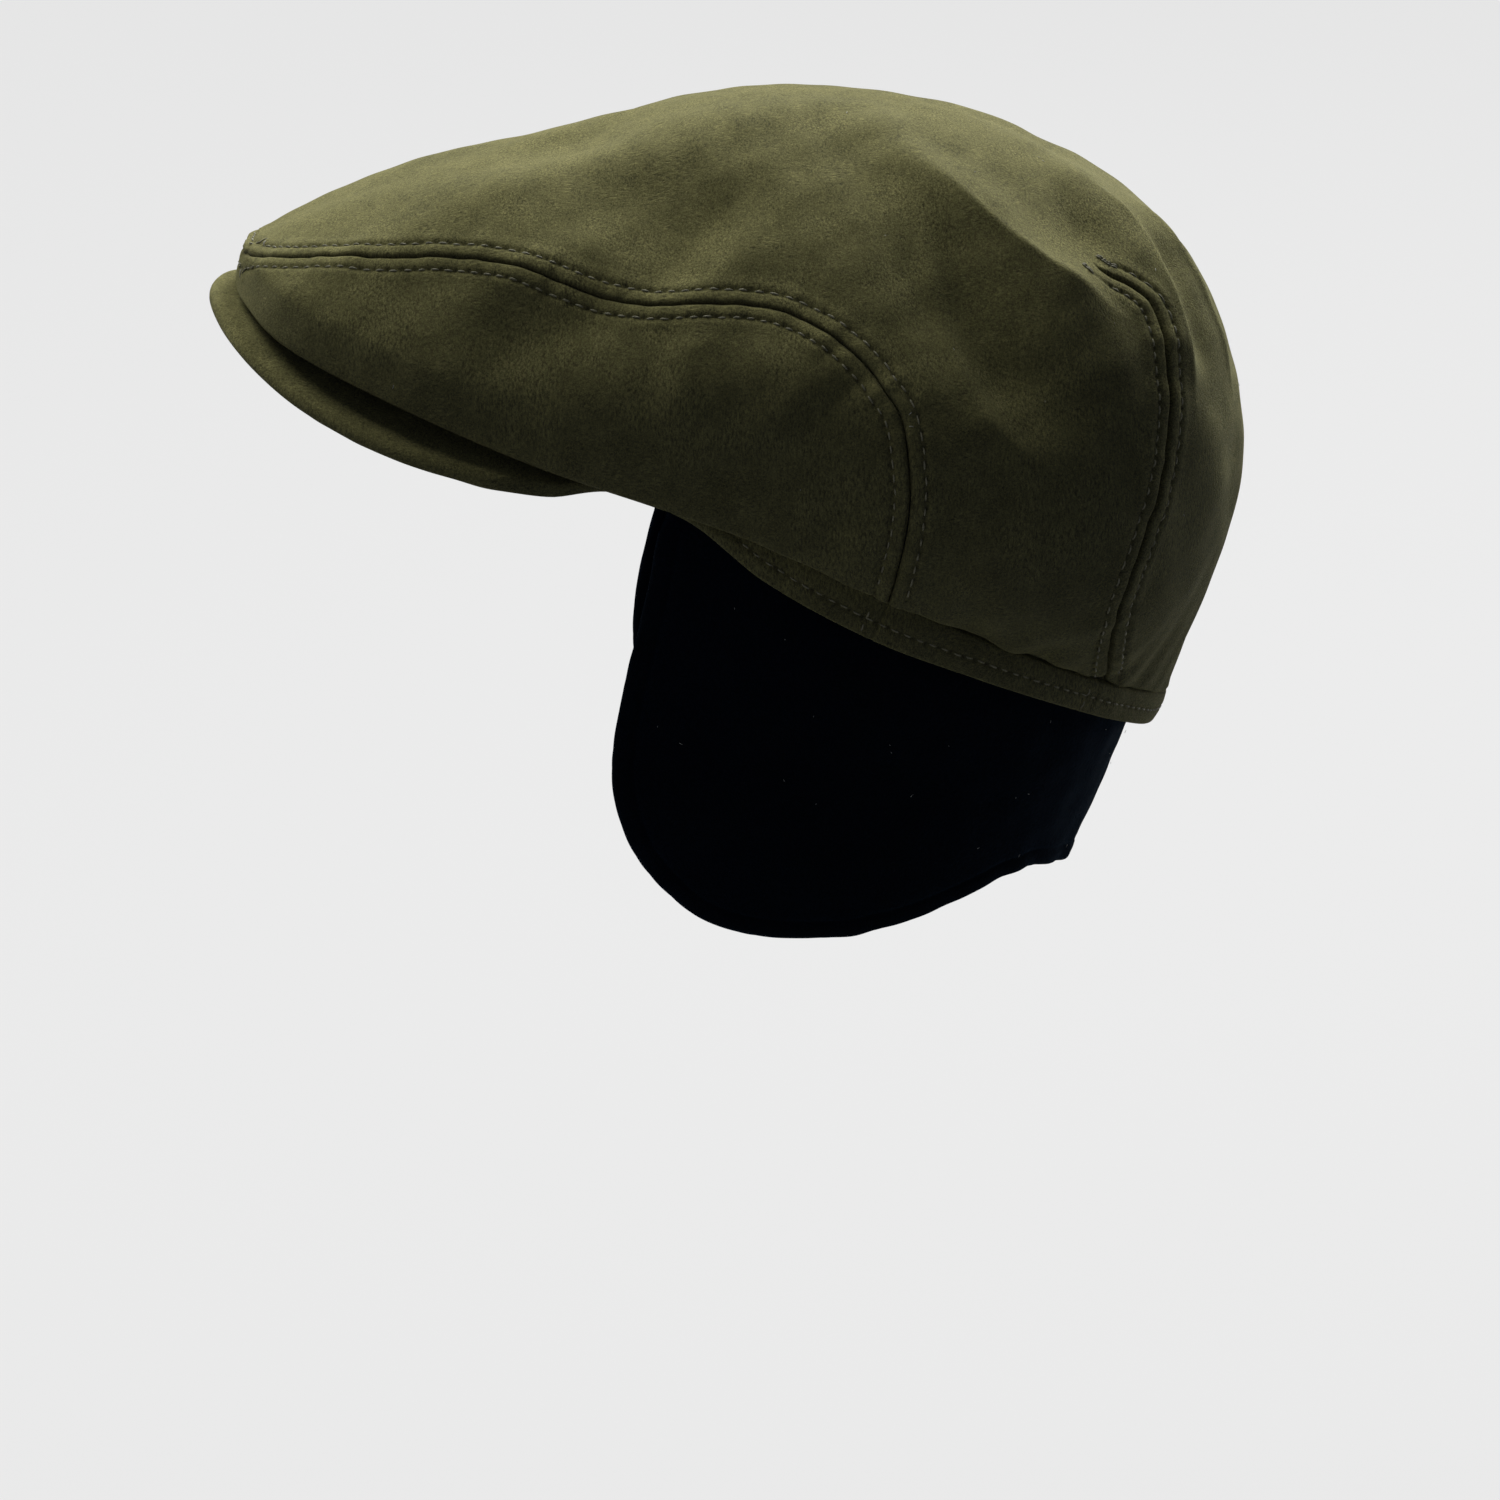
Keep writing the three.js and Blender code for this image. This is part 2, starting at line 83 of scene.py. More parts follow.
# Flap.
FLAP_DEPTH = 84.3
FLAP_WALL = 2.8
FLAP_TUCK = 9
FLAP_TAPER_ACROSS = 0.145
FLAP_TAPER_ALONG = -0.02
FLAP_TAPER_POWER = 1.5
FLAP_FLAT_RADIUS = 85
FLAP_INSET = CROWN_WALL + GAP + BAND_TUCK_WALL + BAND_TUCK_LEAN + GAP
FLAP_HEM = 5.2
FLAP_ROWS = (0.15, 0.4, 0.8, 1.3, 2, 3, 4, 4.8, 5.2, 5.6, 6.4)

# Seams: two rows of stitches, one on each side of a groove.
STITCH_PITCH = 3.4
STITCH_LENGTH = 2.2
STITCH_RADIUS = 0.24
STITCH_LINE = 3.8
SEAM_STEP = STITCH_PITCH / 4
SEAM_GAP = 0.12
WELT_RISE = 0.38
STITCH_CREASE = 0.42
CREASE_WIDTH = 0.5
SHOULDER_RISE = 0.22
SHOULDER_WIDTH = 1.4
SHOULDER_LINE = 5.4
PUCKER_RISE = 0.16
PUCKER_WIDTH = 7
SEAM_REACH = 16
DART_GROOVE = 1.0
DART_FADE = 9
BACKTACK_REAR = 9
BACKTACK_FRONT = 4
EDGE_ROUND = 0.7
HEM_ROUND = 1.2

# How far apart the points of the cloth lie, and the rows of points beside seams and above the hem.
PANEL_SPACING = 1.25
PANEL_BACK_SPACING = 4.5
PANEL_BACK_CLEAR = 2.5
FLAP_SPACING = 1.5
FLAP_CLEAR = 1.0
LOOP_STEP = 0.02
SEAM_ROWS = (0.2, 0.35, 0.55, 0.85, 1.3, 1.9, 2.5, 3.0, 3.4, 3.8, 4.2, 4.7, 5.3, 6.1)
HEM_ROWS = (0.2, 0.5, 0.9, 1.4, 2.0, 2.8, 3.8)

# Painted shade that darkens the inner faces and cut edges, and the colours.
INNER_PAINTED_SHADE = -0.3
SUEDE_COLOURS = ((0.118, 0.111, 0.040, 1), (0.195, 0.182, 0.070, 1))
FLEECE_COLOURS = ((0.0010, 0.0026, 0.0065, 1), (0.0016, 0.0040, 0.0100, 1))
THREAD_COLOURS = ((0.12, 0.115, 0.07, 1), (0.28, 0.27, 0.17, 1))
LINT_COLOURS = ((0.45, 0.45, 0.42, 1), (0.75, 0.75, 0.72, 1))
FLOOR_COLOUR = (0.05, 0.05, 0.05, 1)
FLOOR_GLOW = 0.76
SKY_COLOUR = (0.85, 0.95, 1.1, 1)
SKY_STRENGTH = 0.04

# The lights: place in metres from the middle of the head opening, side in metres, and watts.
LIGHTS = {
    "main": ((-1.0, 0.4, 1.1), 0.8, 32),
    "front_top": ((-0.4, -0.6, 1.3), 0.8, 14),
    "fill": ((0.7, -1.3, -0.1), 0.8, 2),
    "low_back": ((-0.8, 1.2, -0.3), 0.6, 8),
}


def table(columns, rows):
    """A table with named columns, as one array for each column."""
    return dict(zip(columns.split(), np.array(rows, float).T))


# The crown by direction, from the centre front round one side to the centre back. Shares:
# across of the half width, along of the front or back reach, belly of the height, hem and edge of
# the hem lift; slope is the dome's power; drawn and lip say how far the hem closes to the band.
CROWN = table("across along belly slope hem edge drawn lip", [
    (0.000, 1.000, 0.168, 0.96, 0.69, 0.69, 0.016, 0),
    (0.344, 0.965, 0.166, 0.95, 0.69, 0.69, 0.020, 0),
    (0.589, 0.882, 0.162, 0.89, 0.58, 0.69, 0.035, 0),
    (0.763, 0.720, 0.165, 0.82, 0.63, 0.69, 0.050, 0),
    (0.862, 0.522, 0.197, 0.71, 0.71, 0.71, 0.120, 0),
    (0.912, 0.348, 0.262, 0.61, 0.91, 0.79, 0.260, 0),
    (0.959, 0.190, 0.311, 0.56, 1.05, 0.41, 0.310, 1),
    (1.000, 0.000, 0.344, 0.54, 0.99, 0.19, 0.550, 1),
    (0.949, -0.394, 0.352, 0.53, 0.89, 0.16, 0.870, 1),
    (0.728, -0.748, 0.344, 0.52, 0.75, 0.08, 1.000, 1),
    (0.459, -0.910, 0.336, 0.51, 0.60, -0.06, 1.000, 1),
    (0.000, -1.000, 0.328, 0.51, 0.38, -0.32, 1.000, 1),
])

# Folds of the crown: width and height as shares of its height, the length in mm over which each end
# sinks to FOLD_END_SHARE, then places by turn and drop: degrees from the front, 0 at the top to 1 at
# the hem. The right side has the same folds, OTHER_SIDE_FOLDS as high.
FOLDS = [
    (0.07, 0.022, 15, [(25, 0.18), (50, 0.26), (70, 0.33), (90, 0.39), (108, 0.43)]),
    (0.10, -0.045, 35, [(60, 0.36), (72, 0.43), (82, 0.51), (94, 0.58), (110, 0.62)]),
    (0.08, -0.022, 20, [(84, 0.27), (100, 0.30), (112, 0.33)]),
    (0.07, 0.02, 15, [(80, 0.12), (102, 0.18), (116, 0.26), (122, 0.38), (125, 0.52)]),
    (0.05, -0.015, 15, [(124, 0.22), (128, 0.34), (132, 0.50)]),
    (0.06, 0.01, 15, [(136, 0.17), (140, 0.32), (145, 0.50)]),
    (0.16, -0.032, 15, [(2, 0.37), (28, 0.41), (48, 0.50)]),
    (0.09, -0.018, 15, [(42, 0.54), (37, 0.64), (34, 0.76)]),
    (0.12, 0.025, 10, [(48, 0.66), (60, 0.68), (70, 0.74)]),
    (0.20, -0.02, 30, [(0, 0.22), (2, 0.36), (4, 0.50)]),
    (0.15, -0.035, 20, [(20, 0.03), (120, 0.03), (150, 0.07)]),
    (0.13, 0.015, 20, [(155, 0.25), (168, 0.27), (180, 0.29)]),
]

# Crisp creases on top of the folds, finer and in the same form.
CREASES = [
    (0.025, 0.01, 15, [(58, 0.29), (75, 0.345), (90, 0.385), (108, 0.425)]),
    (0.025, 0.012, 12, [(104, 0.18), (118, 0.25), (123, 0.36), (127, 0.52)]),
    (0.022, 0.012, 12, [(138, 0.15), (142, 0.32), (148, 0.50)]),
    (0.045, 0.012, 20, [(66, 0.38), (78, 0.51), (90, 0.64), (108, 0.73)]),
]

# The seam between the top panel and a side panel, and the dart behind it, by turn and drop.
SEAM = table("turn drop", [
    (0, 0.835), (7, 0.815), (13, 0.705), (18, 0.640), (22, 0.605), (25, 0.575), (28, 0.558),
    (31, 0.552), (35, 0.557), (40, 0.567), (45, 0.570), (50, 0.566), (55, 0.565), (59, 0.572),
    (64, 0.588), (68, 0.605), (73, 0.632), (76, 0.655), (79, 0.678), (81, 0.705), (83, 0.745),
    (85, 0.797), (86.3, 0.835), (87.3, 0.875), (88.2, 0.930), (89, 1.000),
])
DART = table("turn drop", [
    (102, 0.345), (105, 0.359), (110, 0.366), (114, 0.378), (117, 0.402), (118.5, 0.440),
    (119.6, 0.485), (120.5, 0.535), (121, 0.610), (120.6, 0.680), (120.4, 0.755), (121, 0.815),
    (123.5, 0.870), (129, 0.930), (135, 0.980), (137, 1.000),
])

# The peak's edge by direction: turn is 0 at the tip and 90 at the temple, low a share of the dip.
PEAK = table("turn low", [
    (0, 0.35), (17, 0.27), (27, 0.12), (39, -0.09), (48, -0.22), (58, -0.26), (66, -0.20),
    (72, -0.07), (78, 0.10), (84, 0.33), (90, 0.80),
])

# The flap's free edge from the side: along is a share of the opening's half length behind its
# middle, and down is a share of the flap's depth.
FLAP = table("along down", [
    (-0.430, -0.050), (-0.400, 0.125), (-0.356, 0.458), (-0.288, 0.703), (-0.175, 0.876),
    (-0.028, 0.973), (0.090, 1.000), (0.238, 0.974), (0.426, 0.885), (0.594, 0.745),
    (0.733, 0.604), (0.812, 0.555), (0.891, 0.552), (1.050, 0.565),
])


def to_world(points):
    """Points of the cap's level frame, tilted back as worn and in metres."""
    x, y, z = np.asarray(points, float).T
    cosine, sine = math.cos(WORN_TILT), math.sin(WORN_TILT)
    return np.column_stack([x, cosine * y + sine * z, cosine * z - sine * y]) / METRE


def length_of(vectors):
    return np.linalg.norm(vectors, axis=-1)


def unit(vectors):
    return vectors / np.maximum(length_of(vectors), 1e-9)[..., None]


def smoothstep(value, low, high):
    share = np.clip((value - low) / (high - low), 0, 1)
    return share * share * (3 - 2 * share)


def blend(start, end, share):
    return start + (end - start) * share


def hump(distance, width, middle=0.0):
    """A rounded hump, 1 high at its middle."""
    return np.exp(-(((distance - middle) / width) ** 2))


def value_at(rows, key, turn):
    """A table's value at any turn, on a smooth curve that is level at its ends and peaks."""
    turns, values = rows["turn"], rows[key]
    rises = np.diff(values)
    slopes = np.zeros(len(values))
    onward = rises[:-1] * rises[1:] > 0
    slopes[1:-1] = np.where(onward, (rises[:-1] + rises[1:]) / (turns[2:] - turns[:-2]), 0)
    away = np.minimum(np.abs(turn), turns[-1])
    i = np.clip(np.searchsorted(turns, away), 1, len(turns) - 1)
    span = turns[i] - turns[i - 1]
    t = (away - turns[i - 1]) / span
    s = 1 - t
    level = values[i - 1] * s * s * (1 + 2 * t) + values[i] * t * t * (3 - 2 * t)
    return level + slopes[i - 1] * span * t * s * s - slopes[i] * span * t * t * s


# Each crown row's direction in degrees and its reach from the axis.
CROWN_ACROSS = CROWN["across"] * CROWN_HALF_WIDTH
CROWN_AHEAD = CROWN["along"] * np.where(CROWN["along"] > 0, CROWN_FRONT_REACH, CROWN_BACK_REACH)
CROWN["turn"] = np.degrees(np.arctan2(CROWN_ACROSS, CROWN_AHEAD))
CROWN["reach"] = np.hypot(CROWN_ACROSS, CROWN_AHEAD)


def from_axis(turn, reach, height):
    """The place at a turn, a reach from the crown's axis and a height."""
    angle = np.radians(turn)
    x = reach * np.sin(angle)
    y = CROWN_AXIS_BACK - reach * np.cos(angle)
    return np.stack(np.broadcast_arrays(x, y, height), axis=-1)


def rim_reach(turn, inset):
    """The reach from the crown's axis to the band's outer face, moved in by an inset."""
    across = RIM_HALF_WIDTH - inset
    along = RIM_HALF_LENGTH - inset
    x = np.sin(np.radians(turn)) / across
    y = -np.cos(np.radians(turn)) / along
    offset = (CROWN_AXIS_BACK - RIM_CENTRE_BACK) / along
    a = x * x + y * y
    b = offset * y
    c = offset * offset - 1
    return (-b + np.sqrt(b * b - a * c)) / a


def hem_reach(turn):
    return blend(value_at(CROWN, "reach", turn), rim_reach(turn, 0), value_at(CROWN, "drawn", turn))


def hem_height(turn):
    return value_at(CROWN, "hem", turn) * HEM_LIFT


def edge_height(turn):
    return value_at(CROWN, "edge", turn) * HEM_LIFT


def plain_crown(turn, drop):
    """The crown without its folds."""
    turn, drop = np.broadcast_arrays(np.asarray(turn, float), np.asarray(drop, float))
    reach = value_at(CROWN, "reach", turn)
    belly = value_at(CROWN, "belly", turn) * CROWN_HEIGHT
    lean = np.minimum(drop / DOME_SHARE, 1) * np.pi / 2
    rise = np.maximum(np.cos(lean), 0) ** (2 * value_at(CROWN, "slope", turn))
    curl = np.clip((drop - DOME_SHARE) / (1 - DOME_SHARE), 0, 1) * SKIRT_TURN
    inward = (1 - np.cos(curl)) / (1 - math.cos(SKIRT_TURN))
    downward = np.sin(curl) / math.sin(SKIRT_TURN)
    dome = drop <= DOME_SHARE
    out = np.where(dome, reach * np.sin(lean), blend(reach, hem_reach(turn), inward))
    dome_height = belly + (CROWN_HEIGHT - belly) * rise
    height = np.where(dome, dome_height, blend(belly, hem_height(turn), downward))
    return from_axis(turn, out, height)


def crown_outward(turn, drop):
    """The outward direction of the crown's surface."""
    step = 0.01
    low = np.clip(drop, 2 * step, 1 - step)
    down = plain_crown(turn, low + step) - plain_crown(turn, low - step)
    around = plain_crown(turn + 1, low) - plain_crown(turn - 1, low)
    return unit(np.cross(down, around))


def smooth_path(points, steps=12):
    """A smooth curve through points, with steps between each pair."""
    points = np.asarray(points, float)
    ends = np.vstack([2 * points[0] - points[1], points, 2 * points[-1] - points[-2]])
    t = np.linspace(0, 1, steps, endpoint=False)[:, None]
    parts = []
    for p0, p1, p2, p3 in zip(ends, ends[1:], ends[2:], ends[3:]):
        slope1, slope2 = (p2 - p0) / 2, (p3 - p1) / 2
        parts.append(
            p1 * (1 - t) ** 2 * (1 + 2 * t) + p2 * t * t * (3 - 2 * t)
            + slope1 * t * (1 - t) ** 2 - slope2 * t * t * (1 - t)
        )
    return np.vstack(parts + [points[-1:]])


def run_of(points):
    """How far along a path each of its points lies."""
    return np.concatenate([[0], np.cumsum(length_of(np.diff(points, axis=0)))])


def evenly(points, spacing, measured=None):
    """Points spaced evenly along a path, or along the measured path that goes with it."""
    run = run_of(points if measured is None else measured)
    count = max(2, round(run[-1] / spacing) + 1)
    marks = np.linspace(0, run[-1], count)
    return np.column_stack([np.interp(marks, run, column) for column in points.T])


def nearest_on_path(points, path, within):
    """Each point's distance to a path and how far along the nearest place is; far points get inf."""
    coarse = path[:: max(1, len(path) // 24)]
    room = within + 1.5 * length_of(np.diff(coarse, axis=0)).max()
    near = np.zeros(len(points), bool)
    for corner in np.vstack([coarse, path[-1:]]):
        near |= length_of(points - corner) < room
    candidates = points[near]
    best = np.full(len(candidates), np.inf)
    along = np.zeros(len(candidates))
    run = run_of(path)
    for start, step, passed in zip(path, np.diff(path, axis=0), run):
        length = max(np.linalg.norm(step), 1e-9)
        t = np.clip((candidates - start) @ step / length**2, 0, 1)
        away = length_of(candidates - start - t[:, None] * step)
        closer = away < best
        best[closer] = away[closer]
        along[closer] = passed + t[closer] * length
    distance, place = np.full(len(points), np.inf), np.zeros(len(points))
    distance[near], place[near] = best, along
    return distance, place


def waves(points, length, seed):
    """A gentle uneven wave over points, mostly within -1 and 1, with ripples of about that length."""
    draw = np.random.default_rng(seed)
    total = np.zeros(len(points))
    ripples = 7
    for _ in range(ripples):
        direction = unit(draw.normal(size=points.shape[1]))
        pace = 2 * np.pi / (length * draw.uniform(0.7, 1.5))
        total += np.sin(points @ direction * pace + draw.uniform(0, 2 * np.pi))
    return total / math.sqrt(ripples)


def fold_paths(folds):
    """Each fold's width, height, end fade and path on the left half of the crown."""
    paths = []
    for width, height, fade, places in folds:
        turns, drops = np.array(places, float).T
        path = smooth_path(plain_crown(turns, drops), 8)
        paths.append((width * CROWN_HEIGHT, height * CROWN_HEIGHT, fade, path))
    return paths


FOLD_PATHS = fold_paths(FOLDS)
CREASE_PATHS = fold_paths(CREASES)


def crisp_profile(distance, width):
    """A sharp crease, 1 high at its middle."""
    return np.exp(-1.5 * (np.sqrt((distance / width) ** 2 + 0.03) - math.sqrt(0.03)))


def fold_end(distance, fade):
    """How much of a fold's height is left at a distance from one of its ends."""
    return FOLD_END_SHARE + (1 - FOLD_END_SHARE) * smoothstep(distance, 0, fade)


def fold_height(places, paths, profile=hump):
    """How far folds move the surface out at places on the plain crown, less on the right."""
    mirrored = places * np.where(places[:, :1] < 0, [-1, 1, 1], [1, 1, 1])
    height = np.zeros(len(places))
    for width, rise, fade, path in paths:
        distance, along = nearest_on_path(mirrored, path, 3 * width)
        ends = fold_end(along, fade) * fold_end(run_of(path)[-1] - along, fade)
        height += rise * ends * profile(distance, width)
    left = smoothstep(places[:, 0], -SIDE_BLEND, SIDE_BLEND)
    return height * blend(OTHER_SIDE_FOLDS, 1, left)


# The flat map of the crown: a place lies in its own direction from the middle, as far out as the
# length down the surface from the top.
MAP_TURNS = np.linspace(0, 180, 181)
MAP_SHARES = np.linspace(0, 1, 201)


def map_lengths():
    """The length from the top to each drop, and the drop at each share of the whole length."""
    turns, drops = np.meshgrid(MAP_TURNS, MAP_SHARES, indexing="ij")
    steps = length_of(np.diff(plain_crown(turns, drops), axis=1))
    lengths = np.hstack([np.zeros((len(MAP_TURNS), 1)), np.cumsum(steps, axis=1)])
    drop_at = np.array([np.interp(MAP_SHARES, row / row[-1], MAP_SHARES) for row in lengths])
    return lengths, drop_at


LENGTH_AT, DROP_AT = map_lengths()


def look_up(grid, turn, share):
    """A value between the four nearest places of a grid by turn and share."""
    row = np.clip(np.abs(turn), 0, 180)
    column = np.clip(share, 0, 1) * (len(MAP_SHARES) - 1)
    i = np.minimum(row.astype(int), len(MAP_TURNS) - 2)
    j = np.minimum(column.astype(int), len(MAP_SHARES) - 2)
    u, v = row - i, column - j
    low = blend(grid[i, j], grid[i, j + 1], v)
    high = blend(grid[i + 1, j], grid[i + 1, j + 1], v)
    return blend(low, high, u)


def to_flat(turn, drop):
    turn = np.asarray(turn, float)
    length = look_up(LENGTH_AT, turn, np.asarray(drop, float))
    return np.stack([length * np.sin(np.radians(turn)), -length * np.cos(np.radians(turn))], axis=-1)


def from_flat(flat):
    turn = np.degrees(np.arctan2(flat[:, 0], -flat[:, 1]))
    whole = look_up(LENGTH_AT, turn, np.ones(len(flat)))
    return turn, look_up(DROP_AT, turn, length_of(flat) / whole)


def hem_fade(drop):
    """How much of the folds is left between the dome's edge and the hem."""
    return 1 - smoothstep(drop, DOME_SHARE, 1)


def folded_crown(flat):
    """The crown with its main folds, at places of the flat map, and its outward direction."""
    turn, drop = from_flat(flat)
    plain = plain_crown(turn, drop)
    outward = crown_outward(turn, drop)
    return plain + outward * (fold_height(plain, FOLD_PATHS) * hem_fade(drop))[:, None], outward


def left_of(path):
    """The direction to the left of a flat path at each of its points."""
    onward = unit(np.gradient(path, axis=0))
    return np.column_stack([-onward[:, 1], onward[:, 0]])


def lay_course(rows):
    """A seam's course on the left half: evenly spaced, with the direction to its inner side."""
    flat = smooth_path(to_flat(rows["turn"], rows["drop"]))
    flat = evenly(flat, SEAM_STEP, folded_crown(flat)[0])
    inward = left_of(flat)
    apart = plain_crown(*from_flat(flat + inward / 2)) - plain_crown(*from_flat(flat - inward / 2))
    return {"flat": flat, "inward": inward / length_of(apart)[:, None], "path": folded_crown(flat)[0]}


def mirror_course(course):
    """The same course on the right half."""
    flip = np.array([-1, 1])
    flat = course["flat"] * flip
    return {"flat": flat, "inward": course["inward"] * flip, "path": folded_crown(flat)[0]}


def beside(course, distance):
    """The flat row that runs beside a course at a real distance, inward if above 0."""
    return course["flat"] + course["inward"] * distance


SEAM_LEFT = lay_course(SEAM)
SEAM_RIGHT = mirror_course(SEAM_LEFT)
DART_LEFT = lay_course(DART)
DART_RIGHT = mirror_course(DART_LEFT)
FRONT_SEAM = lay_course({"turn": np.zeros(2), "drop": np.array([SEAM["drop"][0], 1.0])})


def stitch_holes(along):
    """How near a place along a row is to a needle hole, from 0 to 1."""
    return np.clip(np.cos(2 * np.pi * along / STITCH_PITCH), 0, 1) ** 1.5


def seam_relief(distance, along):
    """The flat swell, the stitch dents and the uneven pull beside a seam's groove."""
    welt = WELT_RISE * smoothstep(distance, 0, 1.2) * (1 - smoothstep(distance, 2.4, 4.4))
    dent = STITCH_CREASE * (0.45 + 0.55 * stitch_holes(along))
    crease = dent * hump(distance, CREASE_WIDTH, STITCH_LINE)
    shoulder = SHOULDER_RISE * hump(distance, SHOULDER_WIDTH, SHOULDER_LINE)
    uneven = waves(along[:, None], 8, 5) + 0.7 * waves(along[:, None], 17, 6)
    return welt - crease + shoulder + PUCKER_RISE * uneven * hump(distance, PUCKER_WIDTH)


def seam_painted_shade(distance, along):
    """How much painted shade darkens the suede in a seam's groove and needle holes, with a faint painted
    highlight along the welt beside the groove.
    """
    holes = -0.12 - 0.60 * stitch_holes(along)
    crease = holes * hump(distance, 0.6, STITCH_LINE)
    return -0.6 * hump(distance, 0.6) + crease + 0.06 * hump(distance, 0.9, 1.9)


def nearest_course(places, courses, within):
    """The distance to the nearest of some courses, and how far along it the place is."""
    distance, along = np.full(len(places), np.inf), np.zeros(len(places))
    for course in courses:
        away, run = nearest_on_path(places, course["path"], within)
        closer = away < distance
        distance[closer], along[closer] = away[closer], run[closer]
    return distance, along


def hem_puckers(turn, drop, places):
    """Small upright gathers just above the hem round the sides and back."""
    near_hem = smoothstep(drop, 0.80, 0.93) * smoothstep(np.abs(turn), 60, 95)
    return 0.55 * near_hem * waves(places[:, :2], 13, 11)


def crown_skin(flat, depth=0.0):
    """The finished crown at places of the flat map: points, outward directions and painted shading."""
    turn, drop = from_flat(flat)
    folded, outward = folded_crown(flat)
    fade = hem_fade(drop)
    relief = fold_height(plain_crown(turn, drop), CREASE_PATHS, crisp_profile) * fade
    relief += (0.40 * waves(folded, 34, 1) + 0.16 * waves(folded, 15, 2)) * (0.3 + 0.7 * fade)
    relief += hem_puckers(turn, drop, folded)
    # Painted light and shade: the surface is a little lighter where folds, creases, waves and puckers stand
    # out and darker where they sink.
    painted_shading = 0.02 * relief
    distance, along = nearest_course(folded, (SEAM_LEFT, SEAM_RIGHT), SEAM_REACH)
    relief += seam_relief(distance, along)
    painted_shading += seam_painted_shade(distance, along)
    distance, along = nearest_course(folded, (DART_LEFT, DART_RIGHT), SEAM_REACH)
    strength = smoothstep(along, 0, DART_FADE)
    relief += strength * (seam_relief(distance, along) - DART_GROOVE * hump(distance, 0.45))
    painted_shading += strength * seam_painted_shade(distance, along)
    return folded + outward * (relief - depth)[:, None], outward, painted_shading


def rounded(distance, radius):
    """How far a rounded edge falls away at a distance from the edge."""
    short = np.clip(radius - distance, 0, radius)
    return radius - np.sqrt(radius**2 - short**2)


def inside(points, loop):
    """Which flat points lie inside a closed loop."""
    x, y = points.T
    result = np.zeros(len(points), bool)
    for (x1, y1), (x2, y2) in zip(loop, np.roll(loop, -1, axis=0)):
        if y1 != y2:
            crosses = (y1 > y) != (y2 > y)
            result ^= crosses & (x < (x2 - x1) * (y - y1) / (y2 - y1) + x1)
    return result


def well_inside(points, loop, clear):
    """The flat points that lie inside a loop and clear of its edge."""
    points = points[inside(points, loop)]
    return apart_from(points, np.vstack([loop, loop[:1]]), clear)


def distinct(loop):
    """Which points of a loop lie apart from the point before."""
    return length_of(loop - np.roll(loop, 1, axis=0)) > LOOP_STEP


def filling(loop, spacing, clear):
    """Flat points in even staggered rows inside a loop, clear of its edge."""
    low, high = loop.min(axis=0), loop.max(axis=0)
    rise = spacing * math.sqrt(3) / 2
    rows, columns = np.arange(low[1], high[1], rise), np.arange(low[0], high[0], spacing)
    x, y = np.meshgrid(columns, rows)
    x[1::2] += spacing / 2
    return well_inside(np.column_stack([x.ravel(), y.ravel()]), loop, clear)


def apart_from(points, path, distance):
    """The points that lie at least a distance away from a flat path."""
    return points[nearest_on_path(points, path, distance)[0] > distance]


def triangulate(loop, points):
    """Triangles over flat points inside a closed loop: all the points, the faces and the loop."""
    coords = [Vector(point) for point in np.vstack([loop, points])]
    border = list(range(len(loop)))
    flat, _, faces, origins, _, _ = delaunay_2d_cdt(coords, [], [border], 1, 1e-4)
    place = {origin: i for i, ids in enumerate(origins) for origin in ids}
    return np.array([tuple(point) for point in flat]), faces, [place[i] for i in border]


def sheet_mesh(loop, outer_points, inner_points, outer, inner, rim_rings):
    """A closed sheet of cloth: outer(flat) gives its face's points and painted shading, inner(flat) its
    back's points, and rim_rings the rings of points between them round the edge."""
    outer_flat, outer_faces, outer_ring = triangulate(loop, outer_points)
    inner_flat, inner_faces, inner_ring = triangulate(loop, inner_points)
    face, painted_shading = outer(outer_flat)
    back = inner(inner_flat)
    points = [face, *rim_rings, back]
    starts = np.cumsum([0] + [len(part) for part in points])
    rings = [outer_ring]
    rings += [list(range(start, start + len(loop))) for start in starts[1:-2]]
    rings.append([starts[-2] + i for i in inner_ring])
    faces = [list(corners) for corners in outer_faces]
    faces += [[starts[-2] + i for i in reversed(corners)] for corners in inner_faces]
    for upper, lower in zip(rings, rings[1:]):
        for a, b, c, d in zip(upper, lower, lower[1:] + lower[:1], upper[1:] + upper[:1]):
            faces.append([a, b, c, d])
    # The back and the rings round the edge carry the inner faces' painted shade.
    painted_shading_values = np.full(starts[-1], INNER_PAINTED_SHADE)
    painted_shading_values[: len(face)] = painted_shading
    return np.vstack(points), faces, painted_shading_values


def add_object(name, data):
    item = bpy.data.objects.new(name, data)
    bpy.context.scene.collection.objects.link(item)
    return item


def add_piece(name, points, faces, material, slot, painted_shading_values=None):
    """A smooth mesh object from points of the level frame, riding on the cap."""
    mesh = bpy.data.meshes.new(name)
    mesh.from_pydata(to_world(points).tolist(), [], faces)
    mesh.shade_smooth()
    if painted_shading_values is not None:
        mesh.attributes.new("painted_shading", "FLOAT", "POINT").data.foreach_set("value", painted_shading_values)
    mesh.materials.append(material)
    piece = add_object(name, mesh)
    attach(piece, "root")
    return piece


def hem_row(from_turn, to_turn, distance=0.0):
    """Flat places just above the hem between two turns, about a stitch step apart."""
    turns = np.linspace(from_turn, to_turn, round(abs(to_turn - from_turn) * 1.6) + 1)
    whole = to_flat(turns, np.ones(len(turns)))
    return whole * (1 - distance / length_of(whole))[:, None]


